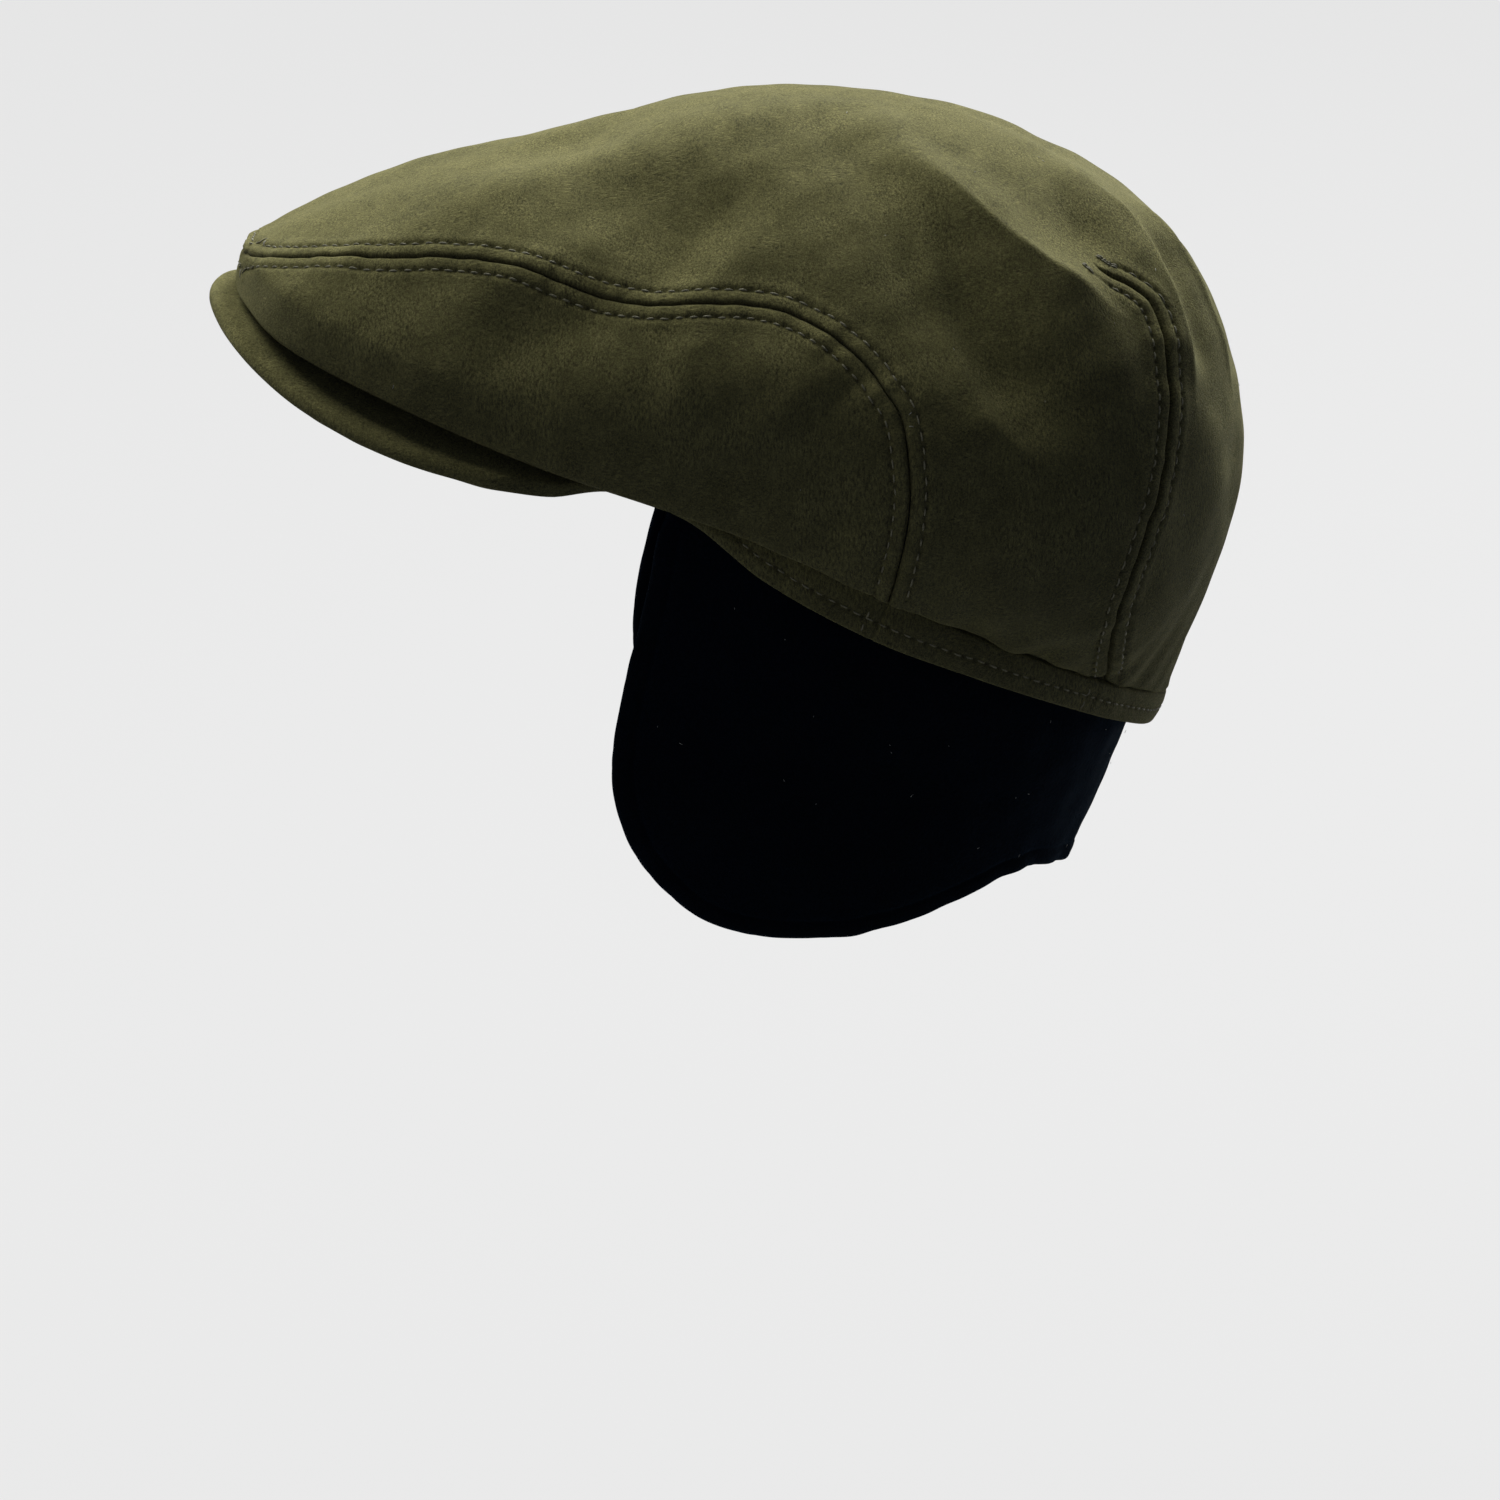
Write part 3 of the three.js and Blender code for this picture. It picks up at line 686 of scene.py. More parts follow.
def crown_rim_rings(loop, is_hem):
    """The rings round a crown panel's edge: a cut wall at its seams, a turned-under lip at its hem."""
    turn, drop = from_flat(loop)
    folded, outward = folded_crown(loop)
    hem = hem_height(turn)
    closed = blend(hem_reach(turn) - CROWN_WALL, rim_reach(turn, CROWN_WALL), value_at(CROWN, "lip", turn))
    rings = []
    for share, height in ((0.5, 0.25), (0.9, CROWN_WALL)):
        wall = folded - outward * blend(EDGE_ROUND, CROWN_WALL, share)
        lip = from_axis(turn, blend(hem_reach(turn), closed, share), hem + height)
        rings.append(np.where(is_hem[:, None], lip, wall))
    return rings


def add_crown_panel(name, loop, is_hem, courses, darts, hem_ends, material):
    """One suede panel of the crown over a flat loop, with fine rows beside its seams and hem."""
    rows = []
    for course, side in courses:
        rows += [beside(course, side * distance) for distance in SEAM_ROWS]
    for course in darts:
        rows += [beside(course, side * distance) for distance in SEAM_ROWS for side in (-1, 1)]
        rows.append(course["flat"])
    rows += [hem_row(*hem_ends, distance) for distance in HEM_ROWS]
    near = well_inside(np.vstack(rows), loop, 0.05)
    fill = filling(loop, PANEL_SPACING, HEM_ROWS[-1] + PANEL_SPACING / 2)
    seams = [course for course, _ in courses]
    for course in seams + darts:
        fill = apart_from(fill, course["flat"], SEAM_ROWS[-1] + PANEL_SPACING / 2)
    if len(courses) == 1:
        seams.append(FRONT_SEAM)
    hem_path = folded_crown(hem_row(*hem_ends))[0]

    def outer(flat):
        folded, _ = folded_crown(flat)
        fall = rounded(nearest_course(folded, seams, 2)[0] - SEAM_GAP, EDGE_ROUND)
        fall = np.maximum(fall, rounded(nearest_on_path(folded, hem_path, 3)[0], HEM_ROUND))
        points, _, painted_shading = crown_skin(flat, np.minimum(fall, HEM_ROUND))
        return points, painted_shading

    def inner(flat):
        folded, outward = folded_crown(flat)
        return folded - outward * CROWN_WALL

    back = filling(loop, PANEL_BACK_SPACING, PANEL_BACK_CLEAR)
    points, faces, painted_shading_values = sheet_mesh(
        loop, np.vstack([near, fill]), back, outer, inner, crown_rim_rings(loop, is_hem))
    return add_piece(name, points, faces, material, "suede", painted_shading_values)


def join_loop(*parts):
    """A closed flat loop from its parts, and which of its points lie on the hem."""
    points = np.vstack([part for part, _ in parts])
    hem = np.concatenate([np.full(len(part), is_hem) for part, is_hem in parts])
    keep = distinct(points)
    return points[keep], hem[keep]


def crown_panels(suede):
    """The top panel and the two side panels."""
    corner = SEAM["turn"][-1]
    loop, is_hem = join_loop(
        (beside(SEAM_LEFT, SEAM_GAP)[:-1], False),
        (hem_row(corner, 360 - corner), True),
        (beside(SEAM_RIGHT, SEAM_GAP)[-2:0:-1], False),
    )
    pieces = [add_crown_panel(
        "crown_top_suede", loop, is_hem, [(SEAM_LEFT, 1), (SEAM_RIGHT, 1)],
        [DART_LEFT, DART_RIGHT], (corner, 360 - corner), suede)]
    seam_low = beside(SEAM_LEFT, -SEAM_GAP)
    front_turn = 0.08
    steps = np.linspace(0, 1, 14, endpoint=False)[1:, None]
    loop, is_hem = join_loop(
        (hem_row(front_turn, corner), True),
        (seam_low[-2:0:-1], False),
        (blend(seam_low[1], to_flat(front_turn, 1.0), steps), False),
    )
    for name, side, course in (("side_suede_left", 1, SEAM_LEFT), ("side_suede_right", -1, SEAM_RIGHT)):
        pieces.append(add_crown_panel(
            name, (loop * [side, 1])[::side], is_hem[::side], [(course, -1)], [],
            (side * front_turn, side * corner), suede))
    return pieces


def quads_between(before, after):
    """Four-cornered faces between rings of point numbers and the rings after them."""
    corners = [before, np.roll(before, -1, axis=-1), np.roll(after, -1, axis=-1), after]
    return np.stack(corners, axis=-1).reshape(-1, 4).tolist()


def ring_mesh(rows, closed):
    """Faces over a grid of points [column, row, xyz] whose rows close on themselves."""
    columns, around = rows.shape[:2]
    index = np.arange(columns * around).reshape(columns, around)
    if closed:
        return rows.reshape(-1, 3), quads_between(index, np.roll(index, -1, axis=0))
    caps = [index[0][::-1].tolist(), index[-1].tolist()]
    return rows.reshape(-1, 3), quads_between(index[:-1], index[1:]) + caps


BAND_STITCH_UP = 4.6
BAND_SEAM_TURNS = (89.5, 136)
BAND_TURNS = np.linspace(-180, 180, 1441)
BAND_RUN = run_of(from_axis(BAND_TURNS, rim_reach(BAND_TURNS, 0), 0.0))


def band_run(turn):
    """How far round the band a direction is, as a length."""
    return np.interp(turn, BAND_TURNS, BAND_RUN)


def band_top(turn):
    lip = value_at(CROWN, "lip", turn)
    return blend(PEAK_ROOT_HEIGHT + GAP, hem_height(turn) - GAP, lip)


def band_face(turn, up):
    """The band's outer face at a height above its lower edge: points and painted shading."""
    room = band_top(turn) - edge_height(turn)
    share = np.clip(up / room, 0, 1)
    place = from_axis(turn, rim_reach(turn, 0), edge_height(turn) + up)
    shape = place.shape[:-1]
    holes = stitch_holes(band_run(turn))
    row = hump(up, 0.55, BAND_STITCH_UP)
    crease = (0.35 + 0.25 * holes) * row
    swell = 0.45 * np.sin(np.pi * share)
    uneven = 0.22 * waves(place.reshape(-1, 3)[:, :2], 10, 21).reshape(shape)
    groove = np.zeros(shape)
    for seam in BAND_SEAM_TURNS:
        away = (np.abs(turn) - seam) * np.radians(1) * rim_reach(turn, 0)
        groove = groove + 0.6 * hump(away, 0.5) - 0.25 * hump(away, 2.4)
    fall = rounded(up, 1.1) + rounded(room - up, 0.9)
    out = swell + uneven * np.sin(np.pi * np.clip(share, 0.1, 0.9)) - crease - groove - fall
    place = from_axis(turn, rim_reach(turn, 0) + out, edge_height(turn) + up)
    # Painted shade: darker along the stitch row, most at the needle holes, and in the grooves at the band's
    # seams.
    return place, -(0.15 + 0.6 * holes) * row - 0.5 * np.clip(groove, 0, 1)


def add_band(suede):
    """The band round the head opening, with its tucked upper edge behind the crown's hem."""
    marks = np.linspace(0, BAND_RUN[-1], 681)[:-1]
    turns = np.interp(marks, BAND_RUN, BAND_TURNS)[:, None]
    share = np.linspace(0, 1, 26)[None, :]
    share = share - 0.06 * np.sin(2 * np.pi * share)
    top = band_top(turns)
    bottom = edge_height(turns)
    face, painted_shading = band_face(turns, share * (top - bottom))
    tuck_face = CROWN_WALL + GAP
    inner_face = tuck_face + BAND_TUCK_WALL
    back = [
        (tuck_face, top),
        (tuck_face + BAND_TUCK_LEAN, top + BAND_TUCK_HEIGHT),
        (inner_face + BAND_TUCK_LEAN, top + BAND_TUCK_HEIGHT),
        (inner_face, blend(bottom, top, 0.5)),
        (inner_face, bottom + 0.8),
        (inner_face - 0.8, bottom),
    ]
    columns = [from_axis(turns, rim_reach(turns, inset), height) for inset, height in back]
    rows = np.concatenate([face, *columns], axis=1)
    # The tuck and the back faces carry the inner faces' painted shade.
    painted_shading_values = np.hstack([painted_shading, np.full((len(turns), len(back)), INNER_PAINTED_SHADE)])
    points, faces = ring_mesh(rows, True)
    return add_piece("rim_band_suede", points, faces, suede, "suede", painted_shading_values.ravel())


def peak_middle(turn, out):
    """The middle of the peak's thickness: turn goes from temple to temple, out from root to edge."""
    root_turn = turn / 90 * PEAK_ROOT_TURN
    half = PEAK_THICKNESS / 2
    root = from_axis(root_turn, rim_reach(root_turn, -GAP), PEAK_ROOT_HEIGHT - half)
    tuck = PEAK_TEMPLE_TUCK * smoothstep(np.abs(turn), PEAK_TUCK_FROM, 90)
    sine = np.abs(np.sin(np.radians(turn))) ** PEAK_OUTLINE_POWER
    cosine = np.maximum(0, np.cos(np.radians(turn))) ** PEAK_OUTLINE_POWER
    edge = np.stack(np.broadcast_arrays(
        np.sign(turn) * PEAK_HALF_WIDTH * sine * (1 - tuck),
        TEMPLE_LINE - PEAK_REACH * cosine,
        value_at(PEAK, "low", turn) * PEAK_DIP + half,
    ), axis=-1)
    place = blend(root, edge, out[..., None])
    place[..., 2] += PEAK_ARCH * np.sin(out * np.pi) * cosine
    return place, length_of(edge - root)


def add_peak(suede):
    """The stiff peak, with a rounded outer edge and tapered temple ends."""
    turns = np.linspace(-90, 90, 260)[:, None]
    half = PEAK_THICKNESS / 2
    near, far = np.linspace(0, 1, 44), np.linspace(0, np.pi, 12)[1:-1]
    reach = np.concatenate([near, np.ones(len(far)), near[::-1]])[None, :]
    round_out = np.concatenate([0 * near, np.sin(far), 0 * near])[None, :]
    lift = np.concatenate([1 + 0 * near, np.cos(far), -1 + 0 * near])[None, :]
    _, length = peak_middle(turns, np.zeros((len(turns), 1)))
    out = (reach * (length - half) + round_out * half) / length
    middle, _ = peak_middle(turns, np.minimum(out, 1))
    thin = np.sqrt(np.clip(1 - ((np.abs(turns) - 84) / 6).clip(0, 1) ** 2, 0.02, 1))
    middle[..., 2] += lift * half * thin
    skin = 0.12 * waves(middle.reshape(-1, 3), 12, 31).reshape(len(turns), -1)
    middle[..., 2] += skin * np.sign(lift) * (np.abs(lift) > 0.9)
    points, faces = ring_mesh(middle, False)
    # Painted highlight: the rounded outer edge is made a little lighter.
    painted_edge_light = np.broadcast_to(0.12 * round_out, middle.shape[:2])
    return add_piece("peak_suede", points, faces, suede, "suede", painted_edge_light.ravel())


def flap_place(flat, depth):
    """The flap at flat places [way round from the centre back, height]."""
    angle, height = flat[:, 0] / FLAP_FLAT_RADIUS, flat[:, 1]
    below = np.maximum(0, -height / FLAP_DEPTH) ** FLAP_TAPER_POWER
    inset = FLAP_INSET + depth
    across = RIM_HALF_WIDTH - inset - below * FLAP_TAPER_ACROSS * RIM_HALF_WIDTH
    along = RIM_HALF_LENGTH - inset - below * FLAP_TAPER_ALONG * RIM_HALF_LENGTH
    return np.column_stack([across * np.sin(angle), RIM_CENTRE_BACK + along * np.cos(angle), height])


def flap_edge():
    """The flap's free edge from the centre back to the temple, as flat places."""
    behind = RIM_CENTRE_BACK + FLAP["along"] * RIM_HALF_LENGTH
    side = smooth_path(np.column_stack([behind, -FLAP["down"] * FLAP_DEPTH]))
    below = np.maximum(0, -side[:, 1] / FLAP_DEPTH) ** FLAP_TAPER_POWER
    along = RIM_HALF_LENGTH - FLAP_INSET - below * FLAP_TAPER_ALONG * RIM_HALF_LENGTH
    share = (side[:, 0] - RIM_CENTRE_BACK) / along
    inner = share < 0.9995
    angle = np.arccos(np.clip(share[inner], -1, 1))
    back = [[0.0, side[inner][-1, 1]]]
    return np.vstack([np.column_stack([angle * FLAP_FLAT_RADIUS, side[inner][:, 1]]), back])[::-1]


def flap_top(flat_x):
    """The height of the flap's tucked upper edge at a way round from the centre back."""
    place = flap_place(np.column_stack([flat_x, np.zeros(len(flat_x))]), 0)
    turn = np.degrees(np.arctan2(place[:, 0], CROWN_AXIS_BACK - place[:, 1]))
    return edge_height(turn) + FLAP_TUCK


def add_flap(fleece):
    """The one-piece ear and neck flap, with a stitched hem round its free edge."""
    edge = evenly(flap_edge(), 0.9)
    free = np.vstack([(edge * [-1, 1])[::-1], edge[1:]])
    top_x = np.linspace(edge[-1, 0], -edge[-1, 0], 240)
    top = np.column_stack([top_x, flap_top(top_x)])
    loop = np.vstack([free, top])
    loop = loop[distinct(loop)]
    inward = left_of(free)
    near = well_inside(np.vstack([free + inward * distance for distance in FLAP_ROWS]), loop, 0.08)
    fill = apart_from(filling(loop, FLAP_SPACING, FLAP_CLEAR), free, 7.2)
    fine = np.vstack([near, fill])

    def relief(flat):
        distance, along = nearest_on_path(flat, free, 12)
        hem = 0.3 * np.clip(1 - ((distance - 2.4) / 2.4) ** 2, 0, 1)
        crease = 0.5 * hump(distance, CREASE_WIDTH, FLAP_HEM)
        uneven = 0.25 * waves(along[:, None], 12, 41) * hump(distance, 6)
        soft = 0.5 * waves(flat, 45, 42) + 0.15 * waves(flat, 14, 43)
        ridge = 0.35 * hump(flat[:, 0], 1.2) - 0.3 * hump(np.abs(flat[:, 0]), 0.8, 2.6)
        fall = rounded(distance, FLAP_WALL / 2)
        return hem - crease + uneven + ridge - fall, soft

    # The face's painted shading follows the close relief, lighter where it stands out and darker in the hem's
    # crease; the fleece material does not read it.
    def outer(flat):
        close, soft = relief(flat)
        return flap_place(flat, -close - soft), 0.2 * close

    def inner(flat):
        close, soft = relief(flat)
        return flap_place(flat, FLAP_WALL + close - soft)

    middle = flap_place(loop, FLAP_WALL / 2 - relief(loop)[1])
    points, faces, painted_shading_values = sheet_mesh(loop, fine, fine, outer, inner, [middle])
    return add_piece("ear_flap_fleece", points, faces, fleece, "fleece", painted_shading_values)


def tubes(spines, ups, radii, sides=6):
    """Closed tubes round spines [tube, point, xyz], with the radii of each tube's points."""
    onward = unit(np.gradient(spines, axis=1))
    sideways = np.cross(onward, ups)
    angles = np.arange(sides) * 2 * np.pi / sides
    ring = ups[:, :, None] * np.cos(angles)[:, None] + sideways[:, :, None] * np.sin(angles)[:, None]
    points = spines[:, :, None] + ring * radii[:, None, None]
    index = np.arange(points[..., 0].size).reshape(points.shape[:3])
    caps = np.vstack([index[:, 0, ::-1], index[:, -1]]).tolist()
    return points.reshape(-1, 3), quads_between(index[:, :-1], index[:, 1:]) + caps


def stitch_mesh(rows, length=STITCH_LENGTH, radius=STITCH_RADIUS, pitch=STITCH_PITCH, seed=61):
    """Threads end to end along rows; each row is (points, outward directions, measure along it)."""
    draw = np.random.default_rng(seed)
    along = np.array([-0.5, -0.4, -0.2, 0.0, 0.2, 0.4, 0.5]) * length
    lifts = np.array([-0.32, 0.0, 0.16, 0.2, 0.16, 0.0, -0.32])
    radii = np.array([0.45, 0.85, 1.0, 1.0, 1.0, 0.85, 0.45]) * radius
    spines, ups = [], []
    for points, outward, measure in rows:
        marks = np.arange(math.ceil(measure[0] / pitch), int(measure[-1] / pitch)) + 0.5
        marks = marks[:, None] * pitch + along * draw.uniform(0.88, 1.1, (len(marks), 1))
        marks += draw.normal(0, 0.08, (len(marks), 1))
        spine = np.stack([np.interp(marks, measure, column) for column in points.T], axis=-1)
        up = unit(np.stack([np.interp(marks, measure, column) for column in outward.T], axis=-1))
        sideways = np.cross(unit(np.gradient(spine, axis=1)), up)
        slant = draw.normal(0, 0.10, (len(marks), 1)) * along / length + draw.normal(0, 0.06, (len(marks), 1))
        spines.append(spine + up * lifts[:, None] + sideways * slant[..., None])
        ups.append(up)
    return tubes(np.vstack(spines), np.vstack(ups), radii)


def away_from_head(places):
    """The level direction away from the middle of the head opening."""
    return unit(places * [1, 1, 0] - [0, RIM_CENTRE_BACK, 0])


def crown_stitch_row(course, distance, start=0.0, end=math.inf):
    """A stitch row beside a seam, between two places measured along the seam."""
    measure = run_of(course["path"])
    row = beside(course, distance)
    _, drop = from_flat(row)
    keep = (drop < 0.995) & (measure >= start) & (measure <= end)
    points, outward, _ = crown_skin(row[keep])
    return points, outward, measure[keep]


DART_SIDES = [
    (course, side, end)
    for course in (DART_LEFT, DART_RIGHT)
    for side, end in ((1, BACKTACK_REAR), (-1, BACKTACK_FRONT))
]


def add_backtacks(thread):
    """The doubled stitches that lock the top of each dart."""
    rows = []
    for course, side, end in DART_SIDES:
        for shift in (-0.38, 0.38):
            rows.append(crown_stitch_row(course, side * STITCH_LINE + shift, 0, end))
    add_piece("backtack_threads", *stitch_mesh(rows, 1.9, 0.26, 1.6, 62), thread, "suede")


def band_stitch_rows():
    """The row along the band on each side, and the short rows in front of the band's seams."""
    rows = []
    for low, high in ((-180, -64), (64, 180)):
        turns = np.linspace(low, high, 500)
        path, _ = band_face(turns, np.full(len(turns), BAND_STITCH_UP))
        rows.append((path, away_from_head(path), band_run(turns)))
    for seam in BAND_SEAM_TURNS:
        for side in (-1, 1):
            turn = side * (seam - 2.2)
            room = band_top(turn) - edge_height(turn)
            ups = np.linspace(0.5, room - 0.5, 24)
            path, _ = band_face(np.full(len(ups), turn), ups)
            rows.append((path, away_from_head(path), run_of(path)))
    return rows


def add_stitches(thread):
    """Every row of topstitching on the suede."""
    seams = []
    for course in (SEAM_LEFT, SEAM_RIGHT):
        for side in (1, -1):
            seams.append(crown_stitch_row(course, side * STITCH_LINE, 1.5))
    darts = [crown_stitch_row(course, side * STITCH_LINE, end) for course, side, end in DART_SIDES]
    bands = band_stitch_rows()
    for name, rows in (("seam_threads", seams), ("dart_threads", darts), ("band_threads", bands)):
        add_piece(name, *stitch_mesh(rows), thread, "suede")


def add_lint(lint):
    """A few pale specks of lint caught on the suede and on the fleece."""
    draw = np.random.default_rng(71)
    count = 46
    flat = to_flat(draw.uniform(15, 345, count), draw.uniform(0.15, 0.93, count))
    crown, outward, _ = crown_skin(flat)
    flap = np.column_stack([draw.uniform(-165, 165, count), draw.uniform(-48, -4, count)])
    fleece = flap_place(flap, -0.4)
    for name, slot, places, ups in (
        ("suede_lint", "suede", crown, outward),
        ("fleece_lint", "fleece", fleece, away_from_head(fleece)),
    ):
        onward = unit(np.cross(ups, draw.normal(size=(count, 3))))
        sideways = np.cross(ups, onward)
        along = np.linspace(-0.5, 0.5, 5) * draw.uniform(0.25, 1.1, (count, 1))
        curve = draw.uniform(-0.6, 0.6, (count, 1)) * along**2
        spines = places[:, None] + onward[:, None] * along[..., None] + sideways[:, None] * curve[..., None]
        spines += ups[:, None] * 0.15
        points, faces = tubes(spines, np.repeat(ups[:, None], 5, axis=1), np.full(5, 0.055), 5)
        add_piece(name, points, faces, lint, slot)


def new_material(name, settings):
    """A material, its node tree and its shader, with values for the shader's inputs."""
    material = bpy.data.materials.new(name)
    material.use_nodes = True
    shader = material.node_tree.nodes["Principled BSDF"]
    for key, value in settings.items():
        shader.inputs[key].default_value = value
    return material, material.node_tree, shader


def add_node(tree, kind, inputs=None, **settings):
    """A shader node with its settings and inputs; an input is a value or another node's output."""
    node = tree.nodes.new(kind)
    for key, value in settings.items():
        setattr(node, key, value)
    for key, value in (inputs or {}).items():
        if isinstance(value, bpy.types.NodeSocket):
            tree.links.new(value, node.inputs[key])
        else:
            node.inputs[key].default_value = value
    return node


def noise(tree, where, scale, detail=3.0, roughness=0.55):
    inputs = {"Vector": where, "Scale": scale, "Detail": detail, "Roughness": roughness}
    return add_node(tree, "ShaderNodeTexNoise", inputs).outputs["Fac"]


def spread(tree, value, low, high, start=0.3, end=0.7):
    inputs = {"Value": value, "From Min": start, "From Max": end, "To Min": low, "To Max": high}
    return add_node(tree, "ShaderNodeMapRange", inputs).outputs["Result"]


def math_node(tree, operation, first, second):
    return add_node(tree, "ShaderNodeMath", {0: first, 1: second}, operation=operation).outputs[0]


def blend_colours(tree, share, dark, light):
    """A colour that goes from dark to light with a share."""
    inputs = {"Factor": share, "A": dark, "B": light}
    return add_node(tree, "ShaderNodeMix", inputs, data_type="RGBA").outputs["Result"]


def cover(tree, shader, colour, height, strength, depth):
    """Gives a shader its colour, and bumps that follow a height."""
    inputs = {"Height": height, "Strength": strength, "Distance": depth}
    bump = add_node(tree, "ShaderNodeBump", inputs)
    tree.links.new(colour, shader.inputs["Base Color"])
    tree.links.new(bump.outputs["Normal"], shader.inputs["Normal"])


def scaled(tree, colour, level):
    """A colour made lighter or darker by a level."""
    inputs = {0: colour, "Scale": level}
    return add_node(tree, "ShaderNodeVectorMath", inputs, operation="SCALE").outputs[0]


def suede_material(name, dark, light):
    """Brushed suede: clouds of lighter and darker nap, short brushed strokes, and the painted light and shade
    that its pieces carry at folds, seams, creases, edges and inner faces.
    """
    material, tree, shader = new_material(name, {
        "Roughness": 0.95,
        "Specular IOR Level": 0.1,
        "Sheen Weight": 0.3,
        "Sheen Roughness": 0.45,
        "Sheen Tint": (0.62, 0.60, 0.30, 1),
    })
    where = add_node(tree, "ShaderNodeTexCoord").outputs["Object"]
    clouds = noise(tree, where, 38, 4.0, 0.6)
    patches = noise(tree, where, 170, 4.0, 0.65)
    strokes = []
    for stretch, turn in (((0.40, 1.0, 1.0), 0.5), ((1.0, 0.40, 1.0), 0.9), ((1.0, 1.0, 0.40), 0.2)):
        lay = {"Vector": where, "Scale": stretch, "Rotation": (turn, turn / 2, turn / 3)}
        along = add_node(tree, "ShaderNodeMapping", lay).outputs[0]
        strokes.append(noise(tree, along, 1900, 4.0, 0.7))
    side = spread(tree, patches, 0.0, 1.0, 0.42, 0.58)
    top = spread(tree, clouds, 0.0, 1.0, 0.44, 0.56)
    nap = add_node(tree, "ShaderNodeMix", {"Factor": side, "A": strokes[0], "B": strokes[1]}).outputs[0]
    nap = add_node(tree, "ShaderNodeMix", {"Factor": top, "A": nap, "B": strokes[2]}).outputs[0]
    mixed = math_node(tree, "ADD", math_node(tree, "MULTIPLY", clouds, 0.55),
                      math_node(tree, "MULTIPLY", patches, 0.45))
    share = spread(tree, mixed, 0.0, 1.0, 0.38, 0.62)
    base = blend_colours(tree, share, dark, light)
    # The painted light and shade carried by the mesh scales the colour by one plus its value.
    painted_shading = add_node(tree, "ShaderNodeAttribute", attribute_name="painted_shading").outputs["Fac"]
    speckle = spread(tree, noise(tree, where, 3400, 2.0, 0.6), 0.6, 1.4)
    strength = math_node(tree, "MULTIPLY", spread(tree, nap, 0.35, 1.65, 0.34, 0.66), speckle)
    level = math_node(tree, "MULTIPLY", strength, math_node(tree, "ADD", painted_shading, 1.0))
    cover(tree, shader, scaled(tree, base, level), nap, 0.8, 0.0004)
    return material


def fleece_material():
    """Matte near-black fleece with a faint blue sheen and a soft curled pile."""
    material, tree, shader = new_material("near_black_fleece", {
        "Roughness": 1.0,
        "Specular IOR Level": 0.02,
        "Sheen Weight": 0.03,
        "Sheen Roughness": 0.5,
        "Sheen Tint": (0.08, 0.42, 0.75, 1),
    })
    where = add_node(tree, "ShaderNodeTexCoord").outputs["Object"]
    pile = noise(tree, where, 900, 4.0, 0.7)
    clouds = noise(tree, where, 60, 4.0, 0.6)
    base = blend_colours(tree, spread(tree, clouds, 0, 1), *FLEECE_COLOURS)
    level = spread(tree, pile, 0.5, 1.5)
    cover(tree, shader, scaled(tree, base, level), pile, 0.8, 0.0006)
    return material


def thread_material(name, dark, light, roughness):
    """Twisted thread that is a little uneven in colour."""
    material, tree, shader = new_material(name, {"Roughness": roughness, "Specular IOR Level": 0.3})
    where = add_node(tree, "ShaderNodeTexCoord").outputs["Object"]
    twist = noise(tree, where, 2600, 2.0)
    colour = blend_colours(tree, spread(tree, twist, 0, 1), dark, light)
    cover(tree, shader, colour, twist, 0.5, 0.0002)
    return material


def floor_material():
    """Pale matt paper, with part of its light its own so that the sweep looks even."""
    material, _, _ = new_material("pale_floor", {
        "Base Color": FLOOR_COLOUR,
        "Roughness": 0.9,
        "Specular IOR Level": 0.0,
        "Emission Color": (1.0, 1.0, 1.0, 1),
        "Emission Strength": FLOOR_GLOW,
    })
    return material


# The camera: on the wearer's left, a little above the cap, at a guessed distance of 0.8 m. The middle
# of the head opening lies off the middle of the picture.
CAMERA_PLACE = (0.7812, -0.01447, 0.1803)
CAMERA_PITCH = 16.76
CAMERA_FOCUS_PIXELS = 3040
PICTURE_PIXELS = 1500
SENSOR = 36


def add_camera():
    data = bpy.data.cameras.new("camera")
    data.sensor_fit = "HORIZONTAL"
    data.sensor_width = SENSOR
    data.lens = CAMERA_FOCUS_PIXELS / PICTURE_PIXELS * SENSOR
    camera = add_object("camera", data)
    camera.location = CAMERA_PLACE
    camera.rotation_euler = (math.radians(90 - CAMERA_PITCH), 0, math.radians(90))
    bpy.context.scene.camera = camera


def add_light(name, place, size, power):
    """A soft square light that faces the middle of the head opening."""
    data = bpy.data.lights.new(name, "AREA")
    data.shape = "SQUARE"
    data.size = size
    data.energy = power
    light = add_object(name, data)
    light.location = place
    light.rotation_euler = (-Vector(place)).to_track_quat("-Z", "Y").to_euler()
    light.visible_camera = False


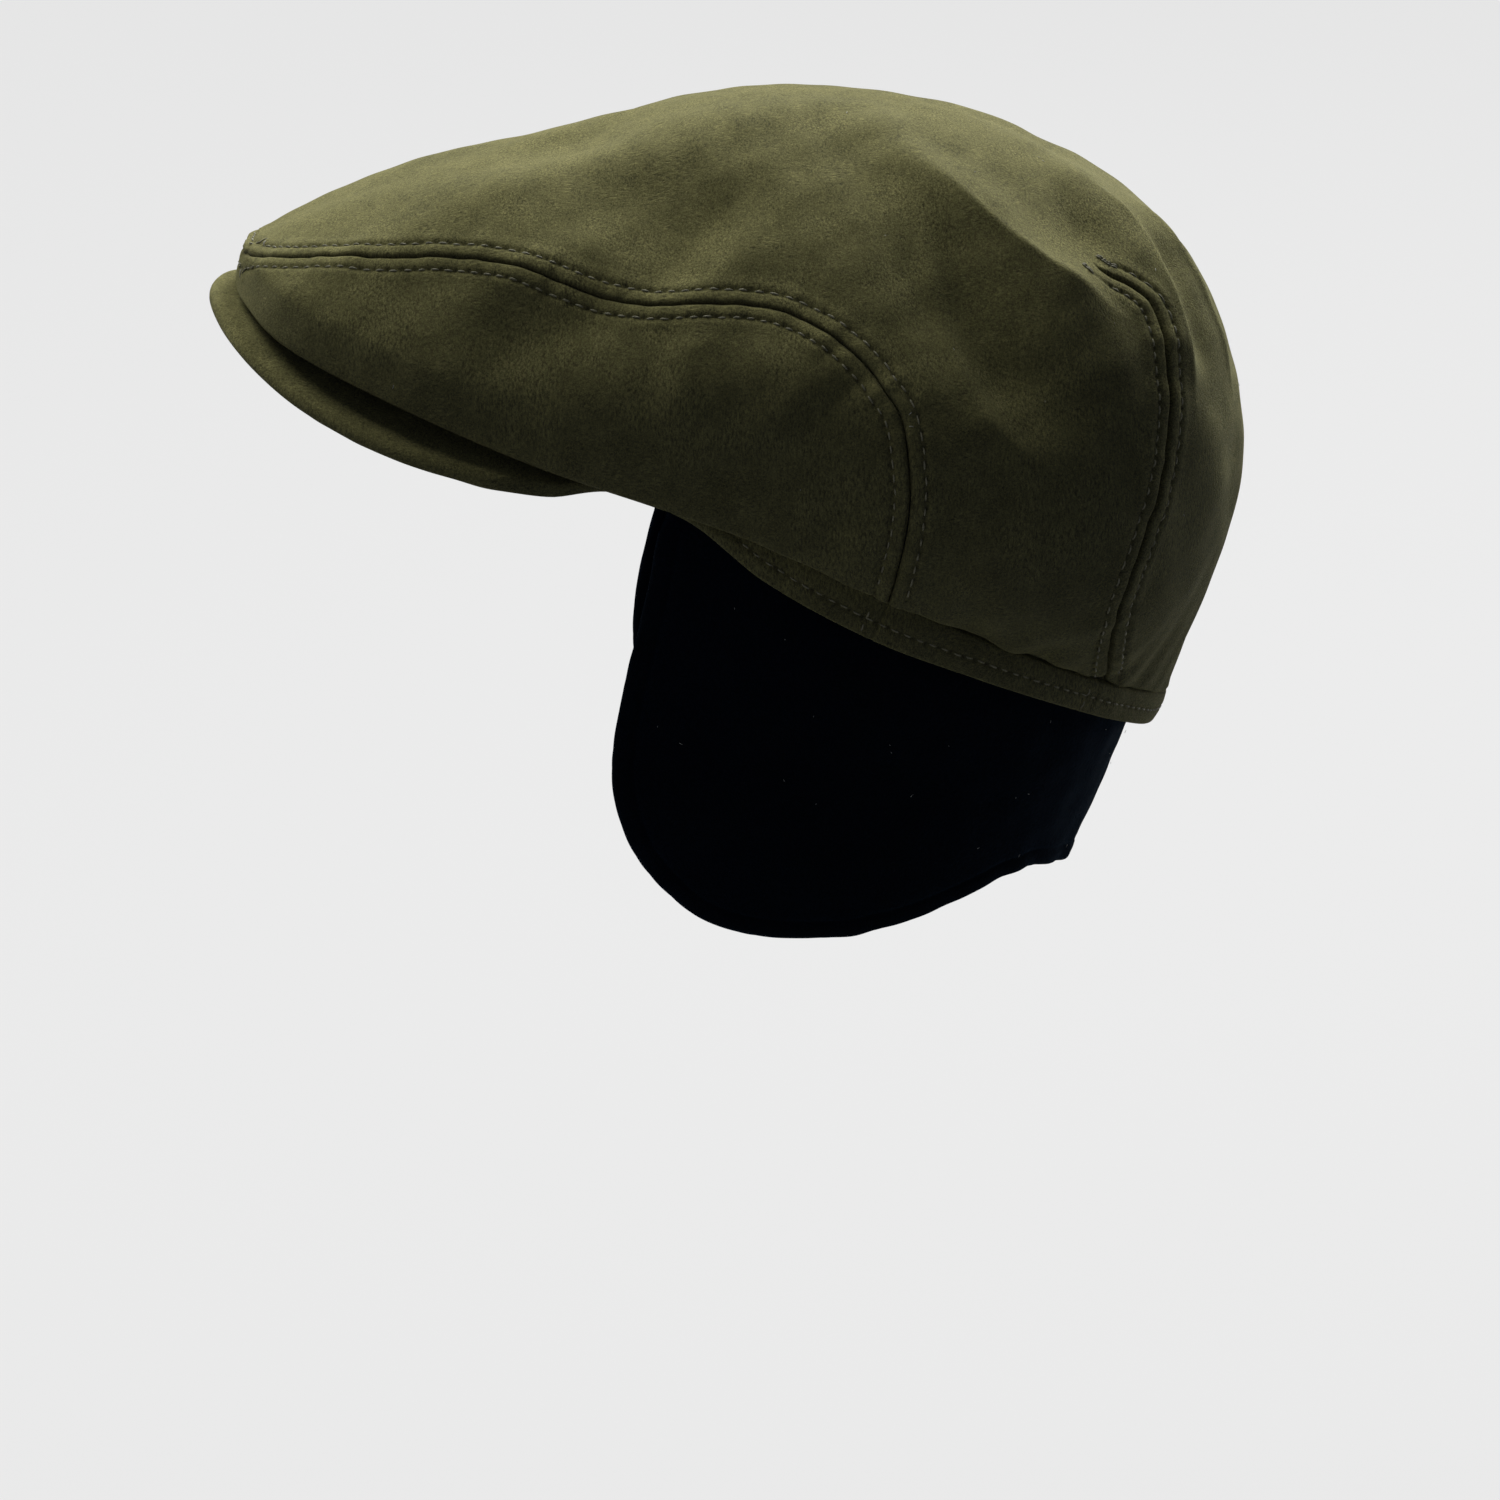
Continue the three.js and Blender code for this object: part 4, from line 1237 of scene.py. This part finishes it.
def add_stage():
    """A pale floor that rises into a smooth bowl round the cap."""
    floor_height = -0.32
    flat_reach = 0.5
    bowl_reach = 2.6
    rings = 40
    around = 96
    flat = np.linspace(0.02, 1, 6) * flat_reach
    bowl = flat_reach + np.linspace(0, 0.999, rings)[1:] * bowl_reach
    reaches = np.concatenate([flat, bowl])
    share = np.clip((reaches - flat_reach) / bowl_reach, 0, 1)
    heights = floor_height + bowl_reach * (1 - np.sqrt(1 - share**2))
    angles = np.linspace(0, 2 * np.pi, around, endpoint=False)
    points = np.stack(np.broadcast_arrays(
        reaches[:, None] * np.cos(angles),
        reaches[:, None] * np.sin(angles),
        heights[:, None],
    ), axis=-1)
    index = np.arange(len(reaches) * around).reshape(len(reaches), around)
    after = np.roll(index, -1, axis=1)
    quads = np.stack([index[:-1], index[1:], after[1:], after[:-1]], axis=-1).reshape(-1, 4)
    mesh = bpy.data.meshes.new("pale_stage")
    mesh.from_pydata(points.reshape(-1, 3).tolist(), [], quads.tolist() + [index[0].tolist()])
    mesh.shade_smooth()
    mesh.materials.append(floor_material())
    stage = add_object("pale_stage", mesh)
    stage.visible_diffuse = False


def add_lighting():
    """Soft light from above on the far side, with weaker light from the front and low behind."""
    for name, light in LIGHTS.items():
        add_light(name, *light)
    world = bpy.data.worlds.new("studio")
    world.use_nodes = True
    sky = world.node_tree.nodes["Background"]
    sky.inputs["Color"].default_value = SKY_COLOUR
    sky.inputs["Strength"].default_value = SKY_STRENGTH
    bpy.context.scene.world = world
    bpy.context.scene.view_settings.view_transform = "Standard"


def build():
    """Makes every piece, hides the imported parts that they replace, and sets the studio."""
    suede = suede_material("olive_suede", *SUEDE_COLOURS)
    fleece = fleece_material()
    thread = thread_material("olive_thread", *THREAD_COLOURS, 0.6)
    lint = thread_material("pale_lint", *LINT_COLOURS, 0.9)
    top, left, right = crown_panels(suede)
    band = add_band(suede)
    peak = add_peak(suede)
    flap = add_flap(fleece)
    add_stitches(thread)
    add_backtacks(thread)
    add_lint(lint)
    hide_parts("crown_top")
    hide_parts("side_panel_left")
    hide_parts("side_panel_right")
    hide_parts("rim_band")
    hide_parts("peak")
    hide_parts("ear_flap")
    add_camera()
    add_lighting()
    add_stage()


build()
